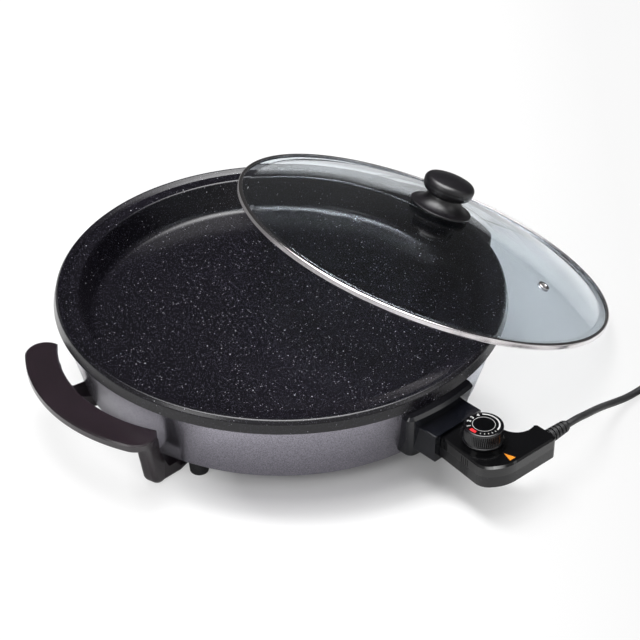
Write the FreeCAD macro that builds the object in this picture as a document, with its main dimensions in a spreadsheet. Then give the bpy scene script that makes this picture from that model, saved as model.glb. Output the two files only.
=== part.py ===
import FreeCAD, Part
import math
import os
import Sketcher
from FreeCAD import Placement, Rotation, Vector

# An electric skillet: a round cast pan in a tapered steel skirt, with a plug-in thermostat and
# a loose glass lid that leans on the rim. Millimetres, Z up. The origin is the pan's axis on the
# table, the thermostat is towards -Y, and the handles are near +X and -X.

SIZES = (
    ("ground_clearance", 14.0, "skirt's lower edge above the table"),
    ("rim_radius", 210.0, "outside of the pan's rim band"),
    ("crest_radius", "=rim_radius - 4.7", "highest circle of the rim"),
    ("crest_height", "=ground_clearance + 75.4", "top of the rim above the table"),
    ("band_bottom", "=ground_clearance + 63", "lower edge of the rim band"),
    ("band_wall", 3.0, "thickness of the rim band"),
    ("lip_depth", 6.3, "from the crest down to the lip's underside"),
    ("mouth_radius", "=rim_radius - 23", "inner edge of the lid's ledge"),
    ("ledge_width", 11.5, "width of the ledge that the lid sits on"),
    ("ledge_drop", 3.3, "ledge below the crest"),
    ("ledge_step", 1.4, "small step outside the ledge"),
    ("floor_radius", "=mouth_radius - 11", "edge of the flat cooking floor"),
    ("floor_height", "=ground_clearance + 43", "cooking floor above the table"),
    ("floor_thickness", 4.0, "cast floor"),
    ("pan_wall", 3.4, "cast side wall"),
    ("corner_radius", 8.0, "inside corner between floor and wall"),
    ("shell_taper", 17.7, "how much narrower the skirt is at its lower edge"),
    ("shell_top_radius", "=rim_radius - band_wall - 0.3", "skirt under the rim band"),
    ("shell_bottom_radius", "=shell_top_radius - shell_taper", "skirt at its lower edge"),
    ("shell_wall", 1.2, "skirt sheet"),
    ("flange_radius", "=shell_bottom_radius - 29", "inner edge of the skirt's turned-in flange"),
    ("plate_radius", "=shell_bottom_radius - 3", "bottom plate"),
    ("plate_thickness", 1.2, "bottom plate sheet"),
    ("vent_circle", 60.0, "circle of the bottom plate's vents"),
    ("vent_radius", 4.0, "one vent in the bottom plate"),
    ("rod_height", "=ground_clearance + 31", "sensor rod, pins and heating tube above the table"),
    ("element_radius", 4.0, "heating tube"),
    ("element_ring", "=floor_radius - 51", "heating tube's ring"),
    ("element_bend", 20.0, "bends where the ring turns out to the pins"),
    ("rib_half_width", 15.0, "half the width of the cast rib over the heating tube"),
    ("pin_spacing", 28.0, "between the two terminal pins"),
    ("pin_radius", 2.8, "terminal pin"),
    ("guide_radius", 4.2, "outside of the sensor's guide tube"),
    ("guide_bore", 3.5, "bore of the sensor's guide tube"),
    ("guide_inner_end", "=shell_bottom_radius - 51", "guide tube's inner end, from the axis"),
    ("boss_circle", 80.0, "circle of the pan's three screw bosses"),
    ("boss_radius", 6.0, "one boss under the pan"),
    ("block_front", "=shell_bottom_radius + 10", "front of the ceramic terminal block"),
    ("block_depth", 8.0, "ceramic terminal block"),
    ("guard_width", 83.0, "connector guard's flange along its top"),
    ("guard_shift", -1.5, "flange's middle beside the pan's axis"),
    ("guard_taper", 9.0, "how much narrower each side of the flange is at its foot"),
    ("guard_bottom", "=ground_clearance + 6.5", "foot of the flange"),
    ("guard_top", "=ground_clearance + 55.5", "top of the flange"),
    ("guard_front", "=shell_top_radius + 7.3", "top of the flange's front, from the axis"),
    ("guard_front_low", "=shell_bottom_radius + 16.5", "foot of the flange's front, from the axis"),
    ("socket_width", 58.0, "socket box in front of the flange"),
    ("socket_bottom", "=ground_clearance + 16", "underside of the socket box"),
    ("socket_top", "=ground_clearance + 43.6", "top of the socket box"),
    ("socket_front", "=shell_bottom_radius + 41", "front of the socket box, from the axis"),
    ("socket_wall", 2.6, "floor and roof of the socket box"),
    ("connector_shift", -3.0, "connector's middle beside the pan's axis"),
    ("probe_gap", 0.5, "air around the thermostat's nose"),
    ("probe_half_width", 22.0, "half the width of the thermostat's nose"),
    ("nose_front", "=socket_front - 25", "tip of the thermostat's nose, from the axis"),
    ("probe_wall", 2.2, "moulded wall of the thermostat"),
    ("parting_height", "=ground_clearance + 30", "joint between the thermostat's two halves"),
    ("probe_end", 50.0, "end wall where the cord leaves"),
    ("cord_line", "=socket_front + 55.5", "cord's exit in front of the axis"),
    ("rod_radius", 3.2, "sensor rod"),
    ("rod_tip", "=nose_front - 60", "tip of the sensor rod, from the axis"),
    ("dial_x", -3.0, "dial's axis across"),
    ("dial_y", "=0 - socket_front - 29", "dial's axis along"),
    ("dial_radius", 17.5, "dial knob"),
    ("dial_top", "=ground_clearance + 59.6", "top of the dial"),
    ("dial_gap", 0.5, "air under the dial"),
    ("spindle_radius", 2.6, "dial's spindle"),
    ("left_handle_angle", 5.9, "left handle's middle behind the cross line, in degrees"),
    ("right_handle_angle", 9.2, "right handle's middle behind the cross line, in degrees"),
    ("grip_outer", "=rim_radius + 41.5", "grip's outermost point, from the axis"),
    ("grip_inner", "=grip_outer - 31.5", "grip's innermost point at its middle"),
    ("grip_half_span", 91.0, "half the length of the grip"),
    ("grip_top", "=ground_clearance + 46", "top of the grip"),
    ("grip_thickness", 8.0, "grip moulding"),
    ("near_leg_angle", 21.0, "near leg from the grip's middle, in degrees"),
    ("far_leg_angle", 17.5, "far leg from the grip's middle, in degrees"),
    ("leg_width", 15.5, "leg across"),
    ("arm_width", 25.0, "arm across, under the skirt"),
    ("foot_outer", "=shell_bottom_radius + 22", "outer end of a leg's flat foot, from the axis"),
    ("arm_inner", "=shell_bottom_radius - 23", "inner end of the arm under the skirt"),
    ("arm_screw", "=shell_bottom_radius - 16", "screw through the arm, from the axis"),
    ("foot_circle", "=shell_bottom_radius - 10", "circle of the round feet"),
    ("foot_radius", 9.8, "one round foot"),
    ("lid_radius", "=mouth_radius + 2.6", "outside of the lid's steel band"),
    ("lid_band_height", 6.0, "lid's steel band"),
    ("lid_band_wall", 0.6, "band's sheet"),
    ("glass_thickness", 4.0, "lid glass"),
    ("dome_height", 35.2, "inside of the dome's outer sphere above the band's lower edge"),
    ("dome_shoulder", 100.0, "where the dome's outer sphere ends, from the lid's axis"),
    ("dome_crown", 60.0, "where the dome's crown begins, from the lid's axis"),
    ("dome_edge", 10.0, "flat edge of the glass"),
    ("lid_azimuth", -12.7, "direction in which the lid leans, in degrees"),
    ("lid_reach", "=rim_radius + 124.1", "lid's low edge on the table, from the axis"),
    ("lid_gap", 0.3, "air between the dome and the rim"),
    ("vent_hole_radius", 4.0, "steam vent's hole in the glass"),
    ("vent_place", 122.0, "steam vent from the lid's axis"),
    ("vent_angle", -60.5, "steam vent's direction on the lid, in degrees"),
    ("seal_height", 1.5, "soft ring between the glass and the knob"),
    ("knob_radius", 24.8, "lid knob's cap"),
    ("knob_neck", 17.0, "lid knob's neck"),
    ("skirt_radius", 30.3, "flared foot of the lid knob"),
    ("skirt_height", 14.0, "flared foot of the lid knob"),
    ("knob_height", 33.5, "lid knob above the glass"),
    ("cord_radius", 3.4, "mains cord"),
    ("coil_radius", 44.0, "outermost turn of the put-away coil"),
    ("coil_pitch", 7.35, "from one turn or layer of the coil to the next"),
    ("coil_turns", 2.0, "turns in one layer of the coil"),
    ("coil_lift", 0.8, "coil above the table, where its tie goes under it"),
    ("relief_length", 28.0, "strain relief outside the housing"),
    ("plug_radius", 18.5, "mains plug"),
    ("plug_length", 36.0, "mains plug's body"),
)

os.makedirs("parts", exist_ok=True)
doc = FreeCAD.newDocument("Skillet")
sheet = doc.addObject("Spreadsheet::Sheet", "Sizes")
for row, (alias, amount, meaning) in enumerate(SIZES, start=1):
    sheet.set("A%d" % row, meaning)
    sheet.set("B%d" % row, str(amount))
    sheet.setAlias("B%d" % row, alias)
doc.recompute()


class Size:
    """A number that also carries the sheet expression it comes from."""

    def __init__(self, number, text):
        self.number = number
        self.text = text

    def __float__(self):
        return self.number

    def __add__(self, other):
        return Size(self.number + float(other), "(%s + %s)" % (self.text, text_of(other)))

    def __sub__(self, other):
        return Size(self.number - float(other), "(%s - %s)" % (self.text, text_of(other)))

    def __mul__(self, other):
        return Size(self.number * float(other), "(%s * %s)" % (self.text, text_of(other)))

    def __truediv__(self, other):
        return Size(self.number / float(other), "(%s / %s)" % (self.text, text_of(other)))

    def __neg__(self):
        return Size(-self.number, "(0 - %s)" % self.text)

    __radd__ = __add__
    __rmul__ = __mul__

    def __rsub__(self, other):
        return Size(float(other) - self.number, "(%s - %s)" % (text_of(other), self.text))


def text_of(value):
    return value.text if isinstance(value, Size) else "(%r)" % float(value)


def size(alias):
    return Size(float(sheet.get(alias)), "Sizes." + alias)


def cos_of(angle):
    return Size(math.cos(math.radians(float(angle))), "cos(%s * 1 deg)" % text_of(angle))


def sin_of(angle):
    return Size(math.sin(math.radians(float(angle))), "sin(%s * 1 deg)" % text_of(angle))


def bind(thing, place, value):
    """Set a property, and tie it to the sheet where the value comes from there."""
    if isinstance(value, Size):
        thing.setExpression(place, value.text)
    else:
        setattr(thing, place, value)


def put(thing, x=0.0, y=0.0, z=0.0, turn=Rotation()):
    thing.Placement = Placement(Vector(float(x), float(y), float(z)), turn)
    for axis, amount in (("x", x), ("y", y), ("z", z)):
        if isinstance(amount, Size):
            thing.setExpression("Placement.Base." + axis, amount.text)
    return thing


ALONG_X = Rotation(Vector(0, 1, 0), 90)
ALONG_FRONT = Rotation(Vector(1, 0, 0), 90)


def cylinder(radius, height, x=0.0, y=0.0, z=0.0, turn=Rotation()):
    thing = doc.addObject("Part::Cylinder", "Cylinder")
    bind(thing, "Radius", radius)
    bind(thing, "Height", height)
    return put(thing, x, y, z, turn)


def cone(lower, upper, height, x=0.0, y=0.0, z=0.0, turn=Rotation()):
    thing = doc.addObject("Part::Cone", "Cone")
    bind(thing, "Radius1", lower)
    bind(thing, "Radius2", upper)
    bind(thing, "Height", height)
    return put(thing, x, y, z, turn)


def box(length, width, height, x=0.0, y=0.0, z=0.0, turn=Rotation()):
    thing = doc.addObject("Part::Box", "Box")
    bind(thing, "Length", length)
    bind(thing, "Width", width)
    bind(thing, "Height", height)
    return put(thing, x, y, z, turn)


def fuse(label, *things):
    thing = doc.addObject("Part::MultiFuse", label)
    thing.Shapes = list(things)
    thing.Refine = True
    return thing


def cut(label, base, *tools):
    thing = doc.addObject("Part::Cut", label)
    thing.Base = base
    thing.Tool = tools[0] if len(tools) == 1 else fuse(label + "_tools", *tools)
    return thing


def group(label, *things):
    thing = doc.addObject("Part::Compound", label)
    thing.Links = list(things)
    return thing


def feature(label, shape, placement=Placement()):
    thing = doc.addObject("Part::Feature", label)
    thing.Shape = shape
    thing.Placement = placement
    return thing


def around(label, thing, angles):
    """Copies of one shape turned about the pan's axis, kept as separate solids."""
    doc.recompute()
    copies = []
    for angle in angles:
        copy = thing.Shape.copy()
        copy.rotate(Vector(0, 0, 0), Vector(0, 0, 1), angle)
        copies.extend(copy.Solids)
    return feature(label, Part.makeCompound(copies))


def origin_plane(body, role):
    return next(item for item in body.Origin.OriginFeatures if item.Role == role)


def outline_sketch(body, role, corners):
    """A closed outline of straight lines whose corners are tied to the sheet."""
    sketch = body.newObject("Sketcher::SketchObject", body.Name + "_outline")
    sketch.AttachmentSupport = [(origin_plane(body, role), "")]
    sketch.MapMode = "FlatFace"
    points = [Vector(float(across), float(up), 0) for across, up in corners]
    count = len(points)
    for index, point in enumerate(points):
        sketch.addGeometry(Part.LineSegment(point, points[(index + 1) % count]))
    for index in range(count):
        sketch.addConstraint(Sketcher.Constraint("Coincident", index, 2, (index + 1) % count, 1))
    for index, (across, up) in enumerate(corners):
        for kind, amount in (("DistanceX", across), ("DistanceY", up)):
            item = Sketcher.Constraint(kind, -1, 1, index, 1, float(amount))
            number = sketch.addConstraint(item)
            if isinstance(amount, Size):
                sketch.setExpression("Constraints[%d]" % number, amount.text)
    return sketch


def turned_body(label, corners):
    """A body turned about Z from (radius, height) corners."""
    body = doc.addObject("PartDesign::Body", label)
    sketch = outline_sketch(body, "XZ_Plane", corners)
    turn = body.newObject("PartDesign::Revolution", label + "_turned")
    turn.Profile = sketch
    turn.ReferenceAxis = (sketch, ["V_Axis"])
    turn.Angle = 360.0
    body.Tip = turn
    doc.recompute()
    return body


def ring_edges(shape, radius, height):
    names = []
    for number, edge in enumerate(shape.Edges, start=1):
        if isinstance(edge.Curve, Part.Circle):
            same_radius = abs(edge.Curve.Radius - float(radius)) < 0.01
            same_height = abs(edge.Curve.Center.z - float(height)) < 0.01
            if same_radius and same_height:
                names.append("Edge%d" % number)
    return names


def dress(body, kind, corner, amount):
    """Round or chamfer the circle that one corner of a turned body leaves."""
    base = body.Tip
    edges = ring_edges(base.Shape, corner[0], corner[1])
    if not edges:
        raise RuntimeError("no edge at a corner of " + body.Label)
    step = body.newObject("PartDesign::" + kind, body.Name + "_" + kind.lower())
    step.Base = (base, edges)
    bind(step, "Radius" if kind == "Fillet" else "Size", amount)
    body.Tip = step
    doc.recompute()


NODES = []


def keep(label, thing):
    thing.Label = label
    NODES.append(thing)
    return thing


# Heights that several pieces share
crest_radius = size("crest_radius")
crest_height = size("crest_height")
floor_underside = size("floor_height") - size("floor_thickness")
lip_underside = crest_height - size("lip_depth")
element_radius = size("element_radius")
rod_height = size("rod_height")
fit = 0.3
rib_underside = rod_height + element_radius + fit
shell_bottom = size("ground_clearance")
plate_bottom = shell_bottom + size("shell_wall")
plate_top = plate_bottom + size("plate_thickness")
ring = size("element_ring")
pin_x = size("pin_spacing") / 2
middle = size("connector_shift")
middle_x = float(middle)


def shell_radius(height):
    """Outside radius of the tapered skirt at a height."""
    bottom = float(size("shell_bottom_radius"))
    top = float(size("shell_top_radius"))
    share = (height - float(shell_bottom)) / (float(size("band_bottom")) - float(shell_bottom))
    return bottom + (top - bottom) * share


def make_pan():
    """Cast aluminium pan: floor, wall, stepped lip and rim band, with ribs and bosses below."""
    ledge_height = crest_height - size("ledge_drop")
    ledge_outer = size("mouth_radius") + size("ledge_width")
    inner_corner = (size("floor_radius"), size("floor_height"))
    mouth = (size("mouth_radius"), ledge_height)
    rim_corner = (size("rim_radius") - 2.0, crest_height - 3.6)
    outer_corner = (size("floor_radius") + size("pan_wall") * 0.6, floor_underside)
    lip_corner = (size("mouth_radius") + size("pan_wall"), lip_underside)
    rib = size("rib_half_width")
    corners = [
        (0.0, size("floor_height")),
        inner_corner,
        mouth,
        (ledge_outer, ledge_height + 0.4),
        (ledge_outer + 2.0, ledge_height + 0.4 + size("ledge_step")),
        (crest_radius, crest_height),
        rim_corner,
        (size("rim_radius"), size("band_bottom")),
        (size("rim_radius") - size("band_wall"), size("band_bottom")),
        (size("rim_radius") - size("band_wall"), lip_underside),
        lip_corner,
        outer_corner,
        (ring + rib, floor_underside),
        (ring + rib, rib_underside),
        (ring - rib, rib_underside),
        (ring - rib, floor_underside),
        (0.0, floor_underside),
    ]
    body = turned_body("pan_casting", corners)
    dress(body, "Fillet", inner_corner, size("corner_radius"))
    dress(body, "Fillet", outer_corner, size("corner_radius"))
    dress(body, "Fillet", mouth, 1.5)
    dress(body, "Fillet", rim_corner, 2.4)
    dress(body, "Fillet", (crest_radius, crest_height), 2.0)
    saddle_inner = size("guide_inner_end") + 4.0
    saddle = box(12.0, 24.0, floor_underside - rod_height - size("guide_radius") - fit + 1.0,
                 middle - 6.0, -saddle_inner - 24.0, rod_height + size("guide_radius") + fit)
    boss_height = floor_underside - plate_top + 1.0
    bosses = []
    for angle in (90.0, 210.0, 330.0):
        x = size("boss_circle") * cos_of(angle)
        y = size("boss_circle") * sin_of(angle)
        post = cylinder(size("boss_radius"), boss_height, x, y, plate_top)
        pilot = cylinder(2.1, 16.0, x, y, plate_top - 1.0)
        bosses.append(cut("boss", post, pilot))
    keep("pan", fuse("pan", body, saddle, *bosses))


def foot_places():
    """Where the four round feet stand: beside the near and far legs of each handle."""
    return beside_handles(8.0)


def leg_places():
    return beside_handles(0.0)


def beside_handles(beyond):
    """Directions that many degrees beyond the near and far legs of the right and left handles."""
    near = float(size("near_leg_angle")) + beyond
    far = float(size("far_leg_angle")) + beyond
    right = float(size("right_handle_angle"))
    left = 180.0 - float(size("left_handle_angle"))
    return (right - near, right + far, left - far, left + near)


def upright_holes(radius, circle, angles):
    holes = []
    for angle in angles:
        x = circle * cos_of(angle)
        y = circle * sin_of(angle)
        holes.append(cylinder(radius, 8.0, x, y, shell_bottom - 2.0))
    return holes


def guard_screw_frames():
    """Frames on the skirt's inside for the two screws that hold the guard, Z outwards."""
    taper = math.atan2(
        float(size("shell_top_radius")) - float(size("shell_bottom_radius")),
        float(size("band_bottom")) - float(shell_bottom),
    )
    reach = shell_radius(float(rod_height)) - float(size("shell_wall")) - 0.2
    across = float(size("socket_width")) / 2 + 3.0
    frames = []
    for side in (-1, 1):
        azimuth = -math.pi / 2 + math.asin((middle_x + side * across) / reach)
        outward = Vector(math.cos(azimuth), math.sin(azimuth), -math.tan(taper)).normalize()
        place = Vector(reach * math.cos(azimuth), reach * math.sin(azimuth), float(rod_height))
        frames.append(Placement(place, Rotation(Vector(0, 0, 1), outward)))
    return frames


def make_shell():
    """Hammertone steel skirt with its turned-in flange and the connector's opening."""
    wall = size("shell_wall")
    top = size("shell_top_radius")
    corners = [
        (size("flange_radius"), shell_bottom),
        (size("shell_bottom_radius"), shell_bottom),
        (top, size("band_bottom")),
        (top, lip_underside),
        (top - wall, lip_underside),
        (top - wall, size("band_bottom")),
        (size("shell_bottom_radius") - wall, plate_bottom),
        (size("flange_radius"), plate_bottom),
    ]
    body = turned_body("shell_pressing", corners)
    opening = box(54.0, 50.0, 32.0, middle - 27.0, -top - 10.0, size("socket_bottom") - 1.0)
    tools = [opening]
    tools += upright_holes(2.7, size("arm_screw"), leg_places())
    tools += upright_holes(2.3, size("foot_circle"), foot_places())
    for frame in guard_screw_frames():
        hole = cylinder(2.2, 12.0)
        hole.Placement = frame.multiply(Placement(Vector(0, 0, -6), Rotation()))
        tools.append(hole)
    keep("outer_shell", cut("outer_shell", body, *tools))


def make_bottom_plate():
    """Round steel plate on the skirt's flange, with a ring of vents."""
    body = doc.addObject("PartDesign::Body", "plate_blank")
    sketch = body.newObject("Sketcher::SketchObject", "plate_circle")
    sketch.AttachmentSupport = [(origin_plane(body, "XY_Plane"), "")]
    sketch.MapMode = "FlatFace"
    radius = size("plate_radius")
    sketch.addGeometry(Part.Circle(Vector(0, 0, 0), Vector(0, 0, 1), float(radius)))
    sketch.addConstraint(Sketcher.Constraint("Coincident", 0, 3, -1, 1))
    number = sketch.addConstraint(Sketcher.Constraint("Radius", 0, float(radius)))
    sketch.setExpression("Constraints[%d]" % number, radius.text)
    pad = body.newObject("PartDesign::Pad", "plate_sheet")
    pad.Profile = sketch
    bind(pad, "Length", size("plate_thickness"))
    body.Tip = pad
    doc.recompute()
    vent_sketch = body.newObject("Sketcher::SketchObject", "plate_vent")
    vent_sketch.AttachmentSupport = [(origin_plane(body, "XY_Plane"), "")]
    vent_sketch.MapMode = "FlatFace"
    vent_sketch.addGeometry(Part.Circle(
        Vector(float(size("vent_circle")), 0, 0), Vector(0, 0, 1), float(size("vent_radius"))))
    for kind, amount in (("DistanceX", size("vent_circle")), ("DistanceY", 0.0)):
        number = vent_sketch.addConstraint(
            Sketcher.Constraint(kind, -1, 1, 0, 3, float(amount)))
        if isinstance(amount, Size):
            vent_sketch.setExpression("Constraints[%d]" % number, amount.text)
    number = vent_sketch.addConstraint(
        Sketcher.Constraint("Radius", 0, float(size("vent_radius"))))
    vent_sketch.setExpression("Constraints[%d]" % number, size("vent_radius").text)
    vent = body.newObject("PartDesign::Pocket", "plate_vent_cut")
    vent.Profile = vent_sketch
    vent.Type = "ThroughAll"
    vent.Midplane = True
    body.Tip = vent
    doc.recompute()
    vents = body.newObject("PartDesign::PolarPattern", "plate_vents")
    vents.Originals = [vent]
    vents.Axis = (origin_plane(body, "Z_Axis"), [""])
    vents.Angle = 360.0
    vents.Occurrences = 12
    body.Tip = vents
    put(body, z=plate_bottom)
    doc.recompute()
    tools = upright_holes(2.7, size("arm_screw"), leg_places())
    tools += upright_holes(2.3, size("foot_circle"), foot_places())
    tools += upright_holes(2.2, size("boss_circle"), (90.0, 210.0, 330.0))
    keep("bottom_plate", cut("bottom_plate", body, *tools))


def arc_from(start, tangent, end):
    """The circular arc that leaves start along tangent and reaches end."""
    chord = end - start
    length = chord.Length
    along = chord * (1.0 / length)
    lean = max(-1.0, min(1.0, tangent.dot(along)))
    side = tangent - along * lean
    if side.Length < 1e-9:
        return Part.LineSegment(start, end).toShape()
    rise = length / 2 * math.tan(math.acos(lean) / 2)
    middle = (start + end) * 0.5 + side * (rise / side.Length)
    return Part.Arc(start, middle, end).toShape()


def biarc(start, start_tangent, end, end_tangent):
    """Two arcs that join two points and keep the direction at both."""
    gap = end - start
    sum_of = start_tangent + end_tangent
    spread = 2 * (1 - start_tangent.dot(end_tangent))
    lean = gap.dot(sum_of)
    reach = (-lean + math.sqrt(lean * lean + spread * gap.dot(gap))) / spread
    joint = (start + end + (start_tangent - end_tangent) * reach) * 0.5
    middle_tangent = end - end_tangent * reach - start - start_tangent * reach
    middle_tangent.normalize()
    return [arc_from(start, start_tangent, joint), arc_from(joint, middle_tangent, end)]


def rounded_route(points):
    """Straight runs joined by tangent arcs, each as large as its two runs allow."""
    edges = []
    radii = []
    place = points[0]
    for index in range(1, len(points) - 1):
        corner = points[index]
        inward = corner - points[index - 1]
        outward = points[index + 1] - corner
        turn = inward.getAngle(outward)
        radius = 0.45 * min(inward.Length, outward.Length) / math.tan(turn / 2)
        radii.append(radius)
        trim = radius * math.tan(turn / 2)
        first = corner - inward * (trim / inward.Length)
        last = corner + outward * (trim / outward.Length)
        edges.append(Part.LineSegment(place, first).toShape())
        edges.append(arc_from(first, inward * (1.0 / inward.Length), last))
        place = last
    edges.append(Part.LineSegment(place, points[-1]).toShape())
    return edges, radii


def tube_along(edges, radius):
    """A round tube swept along joined edges."""
    path = Part.Wire(edges)
    start = edges[0].valueAt(edges[0].FirstParameter)
    heading = edges[0].tangentAt(edges[0].FirstParameter)
    section = Part.Wire([Part.Circle(start, heading, radius).toShape()])
    tube = path.makePipeShell([section], True, False)
    expected = math.pi * radius * radius * path.Length
    if abs(tube.Volume - expected) > 0.01 * expected:
        raise RuntimeError("a tube has the wrong volume")
    return tube, path.Length


def make_element():
    """Tubular heating element: one open ring whose ends turn out towards the pins."""
    height = float(rod_height)
    radius = float(ring)
    bend = float(size("element_bend"))
    leg = float(pin_x)
    end_y = -(float(size("block_front")) - float(size("block_depth")))
    sides = []
    for side in (-1, 1):
        leg_x = middle_x + side * leg
        centre_x = leg_x + side * bend
        centre = Vector(centre_x, -math.sqrt((radius + bend) ** 2 - centre_x ** 2), height)
        touch = Vector(centre.x, centre.y, 0) * (radius / (radius + bend))
        touch.z = height
        turn = Vector(leg_x, centre.y, height)
        swing = (touch - centre) + (turn - centre)
        halfway = centre + swing * (bend / swing.Length)
        sides.append((Vector(leg_x, end_y, height), turn, halfway, touch))
    left, right = sides
    back = Vector(0, radius, height)
    edges = [
        Part.LineSegment(left[0], left[1]).toShape(),
        Part.Arc(left[1], left[2], left[3]).toShape(),
        Part.Arc(left[3], Vector(-radius, 0, height), back).toShape(),
        Part.Arc(back, Vector(radius, 0, height), right[3]).toShape(),
        Part.Arc(right[3], right[2], right[1]).toShape(),
        Part.LineSegment(right[1], right[0]).toShape(),
    ]
    tube, length = tube_along(edges, float(element_radius))
    print("heating tube length", round(length, 1))
    keep("heating_element", feature("heating_element", tube))


def make_clamps():
    """Steel bridges that hold the heating tube up against the cast rib."""
    bottom = rod_height - element_radius - fit - 1.4
    height = rib_underside - bottom
    bridge = box(26.0, 10.0, height, ring - 13.0, -5.0, bottom)
    slot = box(2 * element_radius + 0.8, 12.0, height - 1.4,
               ring - element_radius - 0.4, -6.0, bottom + 1.4)
    clamp = cut("clamp", bridge, slot)
    keep("element_clamps", around("element_clamps", clamp, (-30, 30, 90, 150, 210)))


def make_terminals():
    """Guide tube for the sensor, the ceramic block and the two pins in it."""
    back = size("block_front") - size("block_depth")
    inner = size("guide_inner_end")
    front = size("block_front") + 1.0
    outside = cylinder(size("guide_radius"), front - inner, middle, -inner, rod_height,
                       ALONG_FRONT)
    bore = cylinder(size("guide_bore"), front - inner + 2.0, middle, 1.0 - inner, rod_height,
                    ALONG_FRONT)
    keep("sensor_guide_tube", cut("sensor_guide_tube", outside, bore))
    half = size("probe_half_width") + size("probe_gap") - fit
    low = size("socket_bottom") + size("socket_wall") + fit
    high = size("socket_top") - size("socket_wall") - fit
    block = box(2 * half, size("block_depth"), high - low, middle - half,
                -size("block_front"), low)
    holes = [cylinder(size("guide_radius") + 0.1, 12.0, middle, -back + 2.0, rod_height,
                      ALONG_FRONT)]
    pins = []
    for side in (-1, 1):
        across = middle + side * pin_x
        holes.append(cylinder(size("pin_radius") + 0.1, 12.0, across, -back + 2.0,
                              rod_height, ALONG_FRONT))
        shank = cylinder(size("pin_radius"), 32.0, across, -back, rod_height, ALONG_FRONT)
        tip = cone(size("pin_radius"), size("pin_radius") * 0.5, 2.5, across,
                   -back - 32.0, rod_height, ALONG_FRONT)
        pins.append(fuse("terminal_pin", shank, tip))
    keep("terminal_block", cut("terminal_block", block, *holes))
    keep("terminal_pins", group("terminal_pins", *pins))


def skirt_cone(offset, low, high):
    """A solid cone that follows the skirt's outside, offset outwards."""
    return Part.makeCone(shell_radius(low) + offset, shell_radius(high) + offset, high - low,
                         Vector(0, 0, low))


def make_guard():
    """Bakelite guard: a flange on the skirt and a socket box for the thermostat's nose."""
    half_top = float(size("guard_width")) / 2
    half_low = half_top - float(size("guard_taper"))
    low = float(size("guard_bottom"))
    high = float(size("guard_top"))
    front = float(size("socket_front"))
    inside = float(size("shell_bottom_radius")) - 9.0
    centre = float(size("guard_shift"))
    outline = [
        Vector(centre - half_low, -front, low),
        Vector(centre + half_low, -front, low),
        Vector(centre + half_top, -front, high),
        Vector(centre - half_top, -front, high),
    ]
    wedge = Part.Face(Part.makePolygon(outline + outline[:1])).extrude(Vector(0, front - inside, 0))
    flange = wedge.common(Part.makeCone(
        float(size("guard_front_low")), float(size("guard_front")), high - low,
        Vector(0, 0, low)))
    corners = [edge for edge in flange.Edges
               if edge.BoundBox.ZLength > (high - low) * 0.8 and edge.BoundBox.YMax < -inside - 9.0]
    flange = flange.makeFillet(7.0, corners)
    top_edges = [edge for edge in flange.Edges
                 if abs(edge.BoundBox.ZMin - high) < 0.01 and edge.BoundBox.YMax < -inside - 5.0
                 and edge.BoundBox.XLength > 20.0]
    flange = flange.makeChamfer(3.0, top_edges)
    bottom = float(size("socket_bottom"))
    top = float(size("socket_top"))
    half = float(size("socket_width")) / 2
    nose = Part.makeBox(2 * half, front - inside, top - bottom,
                        Vector(middle_x - half, -front, bottom))
    sides = [edge for edge in nose.Edges
             if abs(edge.BoundBox.YLength - (front - inside)) < 0.01]
    nose = nose.makeFillet(1.5, sides)
    skirt = skirt_cone(0.0, low - 1.0, high + 1.0)
    guard = flange.fuse(nose).cut(skirt)
    bore_half = float(size("probe_half_width") + size("probe_gap"))
    wall = float(size("socket_wall"))
    bore = Part.makeBox(2 * bore_half, 80.0, top - bottom - 2 * wall,
                        Vector(middle_x - bore_half, -front - 10.0, bottom + wall))
    guard = guard.cut(bore).removeSplitter()
    screws = []
    for frame in guard_screw_frames():
        pilot = Part.makeCylinder(1.6, 9.0)
        pilot.Placement = frame
        guard = guard.cut(pilot)
        screw = Part.makeCylinder(1.5, 8.8, Vector(0, 0, -0.1))
        head = Part.makeCylinder(3.5, 2.2, Vector(0, 0, -2.3))
        screw = screw.fuse(head)
        screw.Placement = frame
        screws.append(screw)
    keep("connector_guard", feature("connector_guard", guard))
    keep("guard_screws", feature("guard_screws", Part.makeCompound(screws)))


def handle_shape(low_leg, high_leg):
    """One bakelite handle about its own middle: a curved grip on two legs with arms."""
    outer = float(size("grip_outer"))
    inner = float(size("grip_inner"))
    span = float(size("grip_half_span"))
    top = float(size("grip_top"))
    thickness = float(size("grip_thickness"))
    outer_fall = 23.0
    inner_fall = 24.5
    outer_end = span - 9.0
    inner_end = span - 12.0
    start = Vector(outer - outer_fall, outer_end, 0)
    left = Vector(outer - outer_fall, -outer_end, 0)
    inner_start = Vector(inner - inner_fall, inner_end, 0)
    inner_left = Vector(inner - inner_fall, -inner_end, 0)
    tip_x = (start.x + inner_start.x) / 2
    outline = Part.Wire([
        Part.Arc(start, Vector(outer, 0, 0), left).toShape(),
        Part.Arc(left, Vector(tip_x, -span, 0), inner_left).toShape(),
        Part.Arc(inner_left, Vector(inner, 0, 0), inner_start).toShape(),
        Part.Arc(inner_start, Vector(tip_x, span, 0), start).toShape(),
    ])
    grip = Part.Face(outline).extrude(Vector(0, 0, thickness))
    grip.translate(Vector(0, 0, top - thickness))
    upper = [edge for edge in grip.Edges if abs(edge.BoundBox.ZMin - top) < 0.01]
    lower = [edge for edge in grip.Edges if abs(edge.BoundBox.ZMax - top + thickness) < 0.01]
    grip = grip.makeChamfer(1.4, upper + lower)
    handle = grip
    for angle in (-low_leg, high_leg):
        handle = handle.fuse(leg_shape(angle))
    return handle.removeSplitter()


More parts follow.
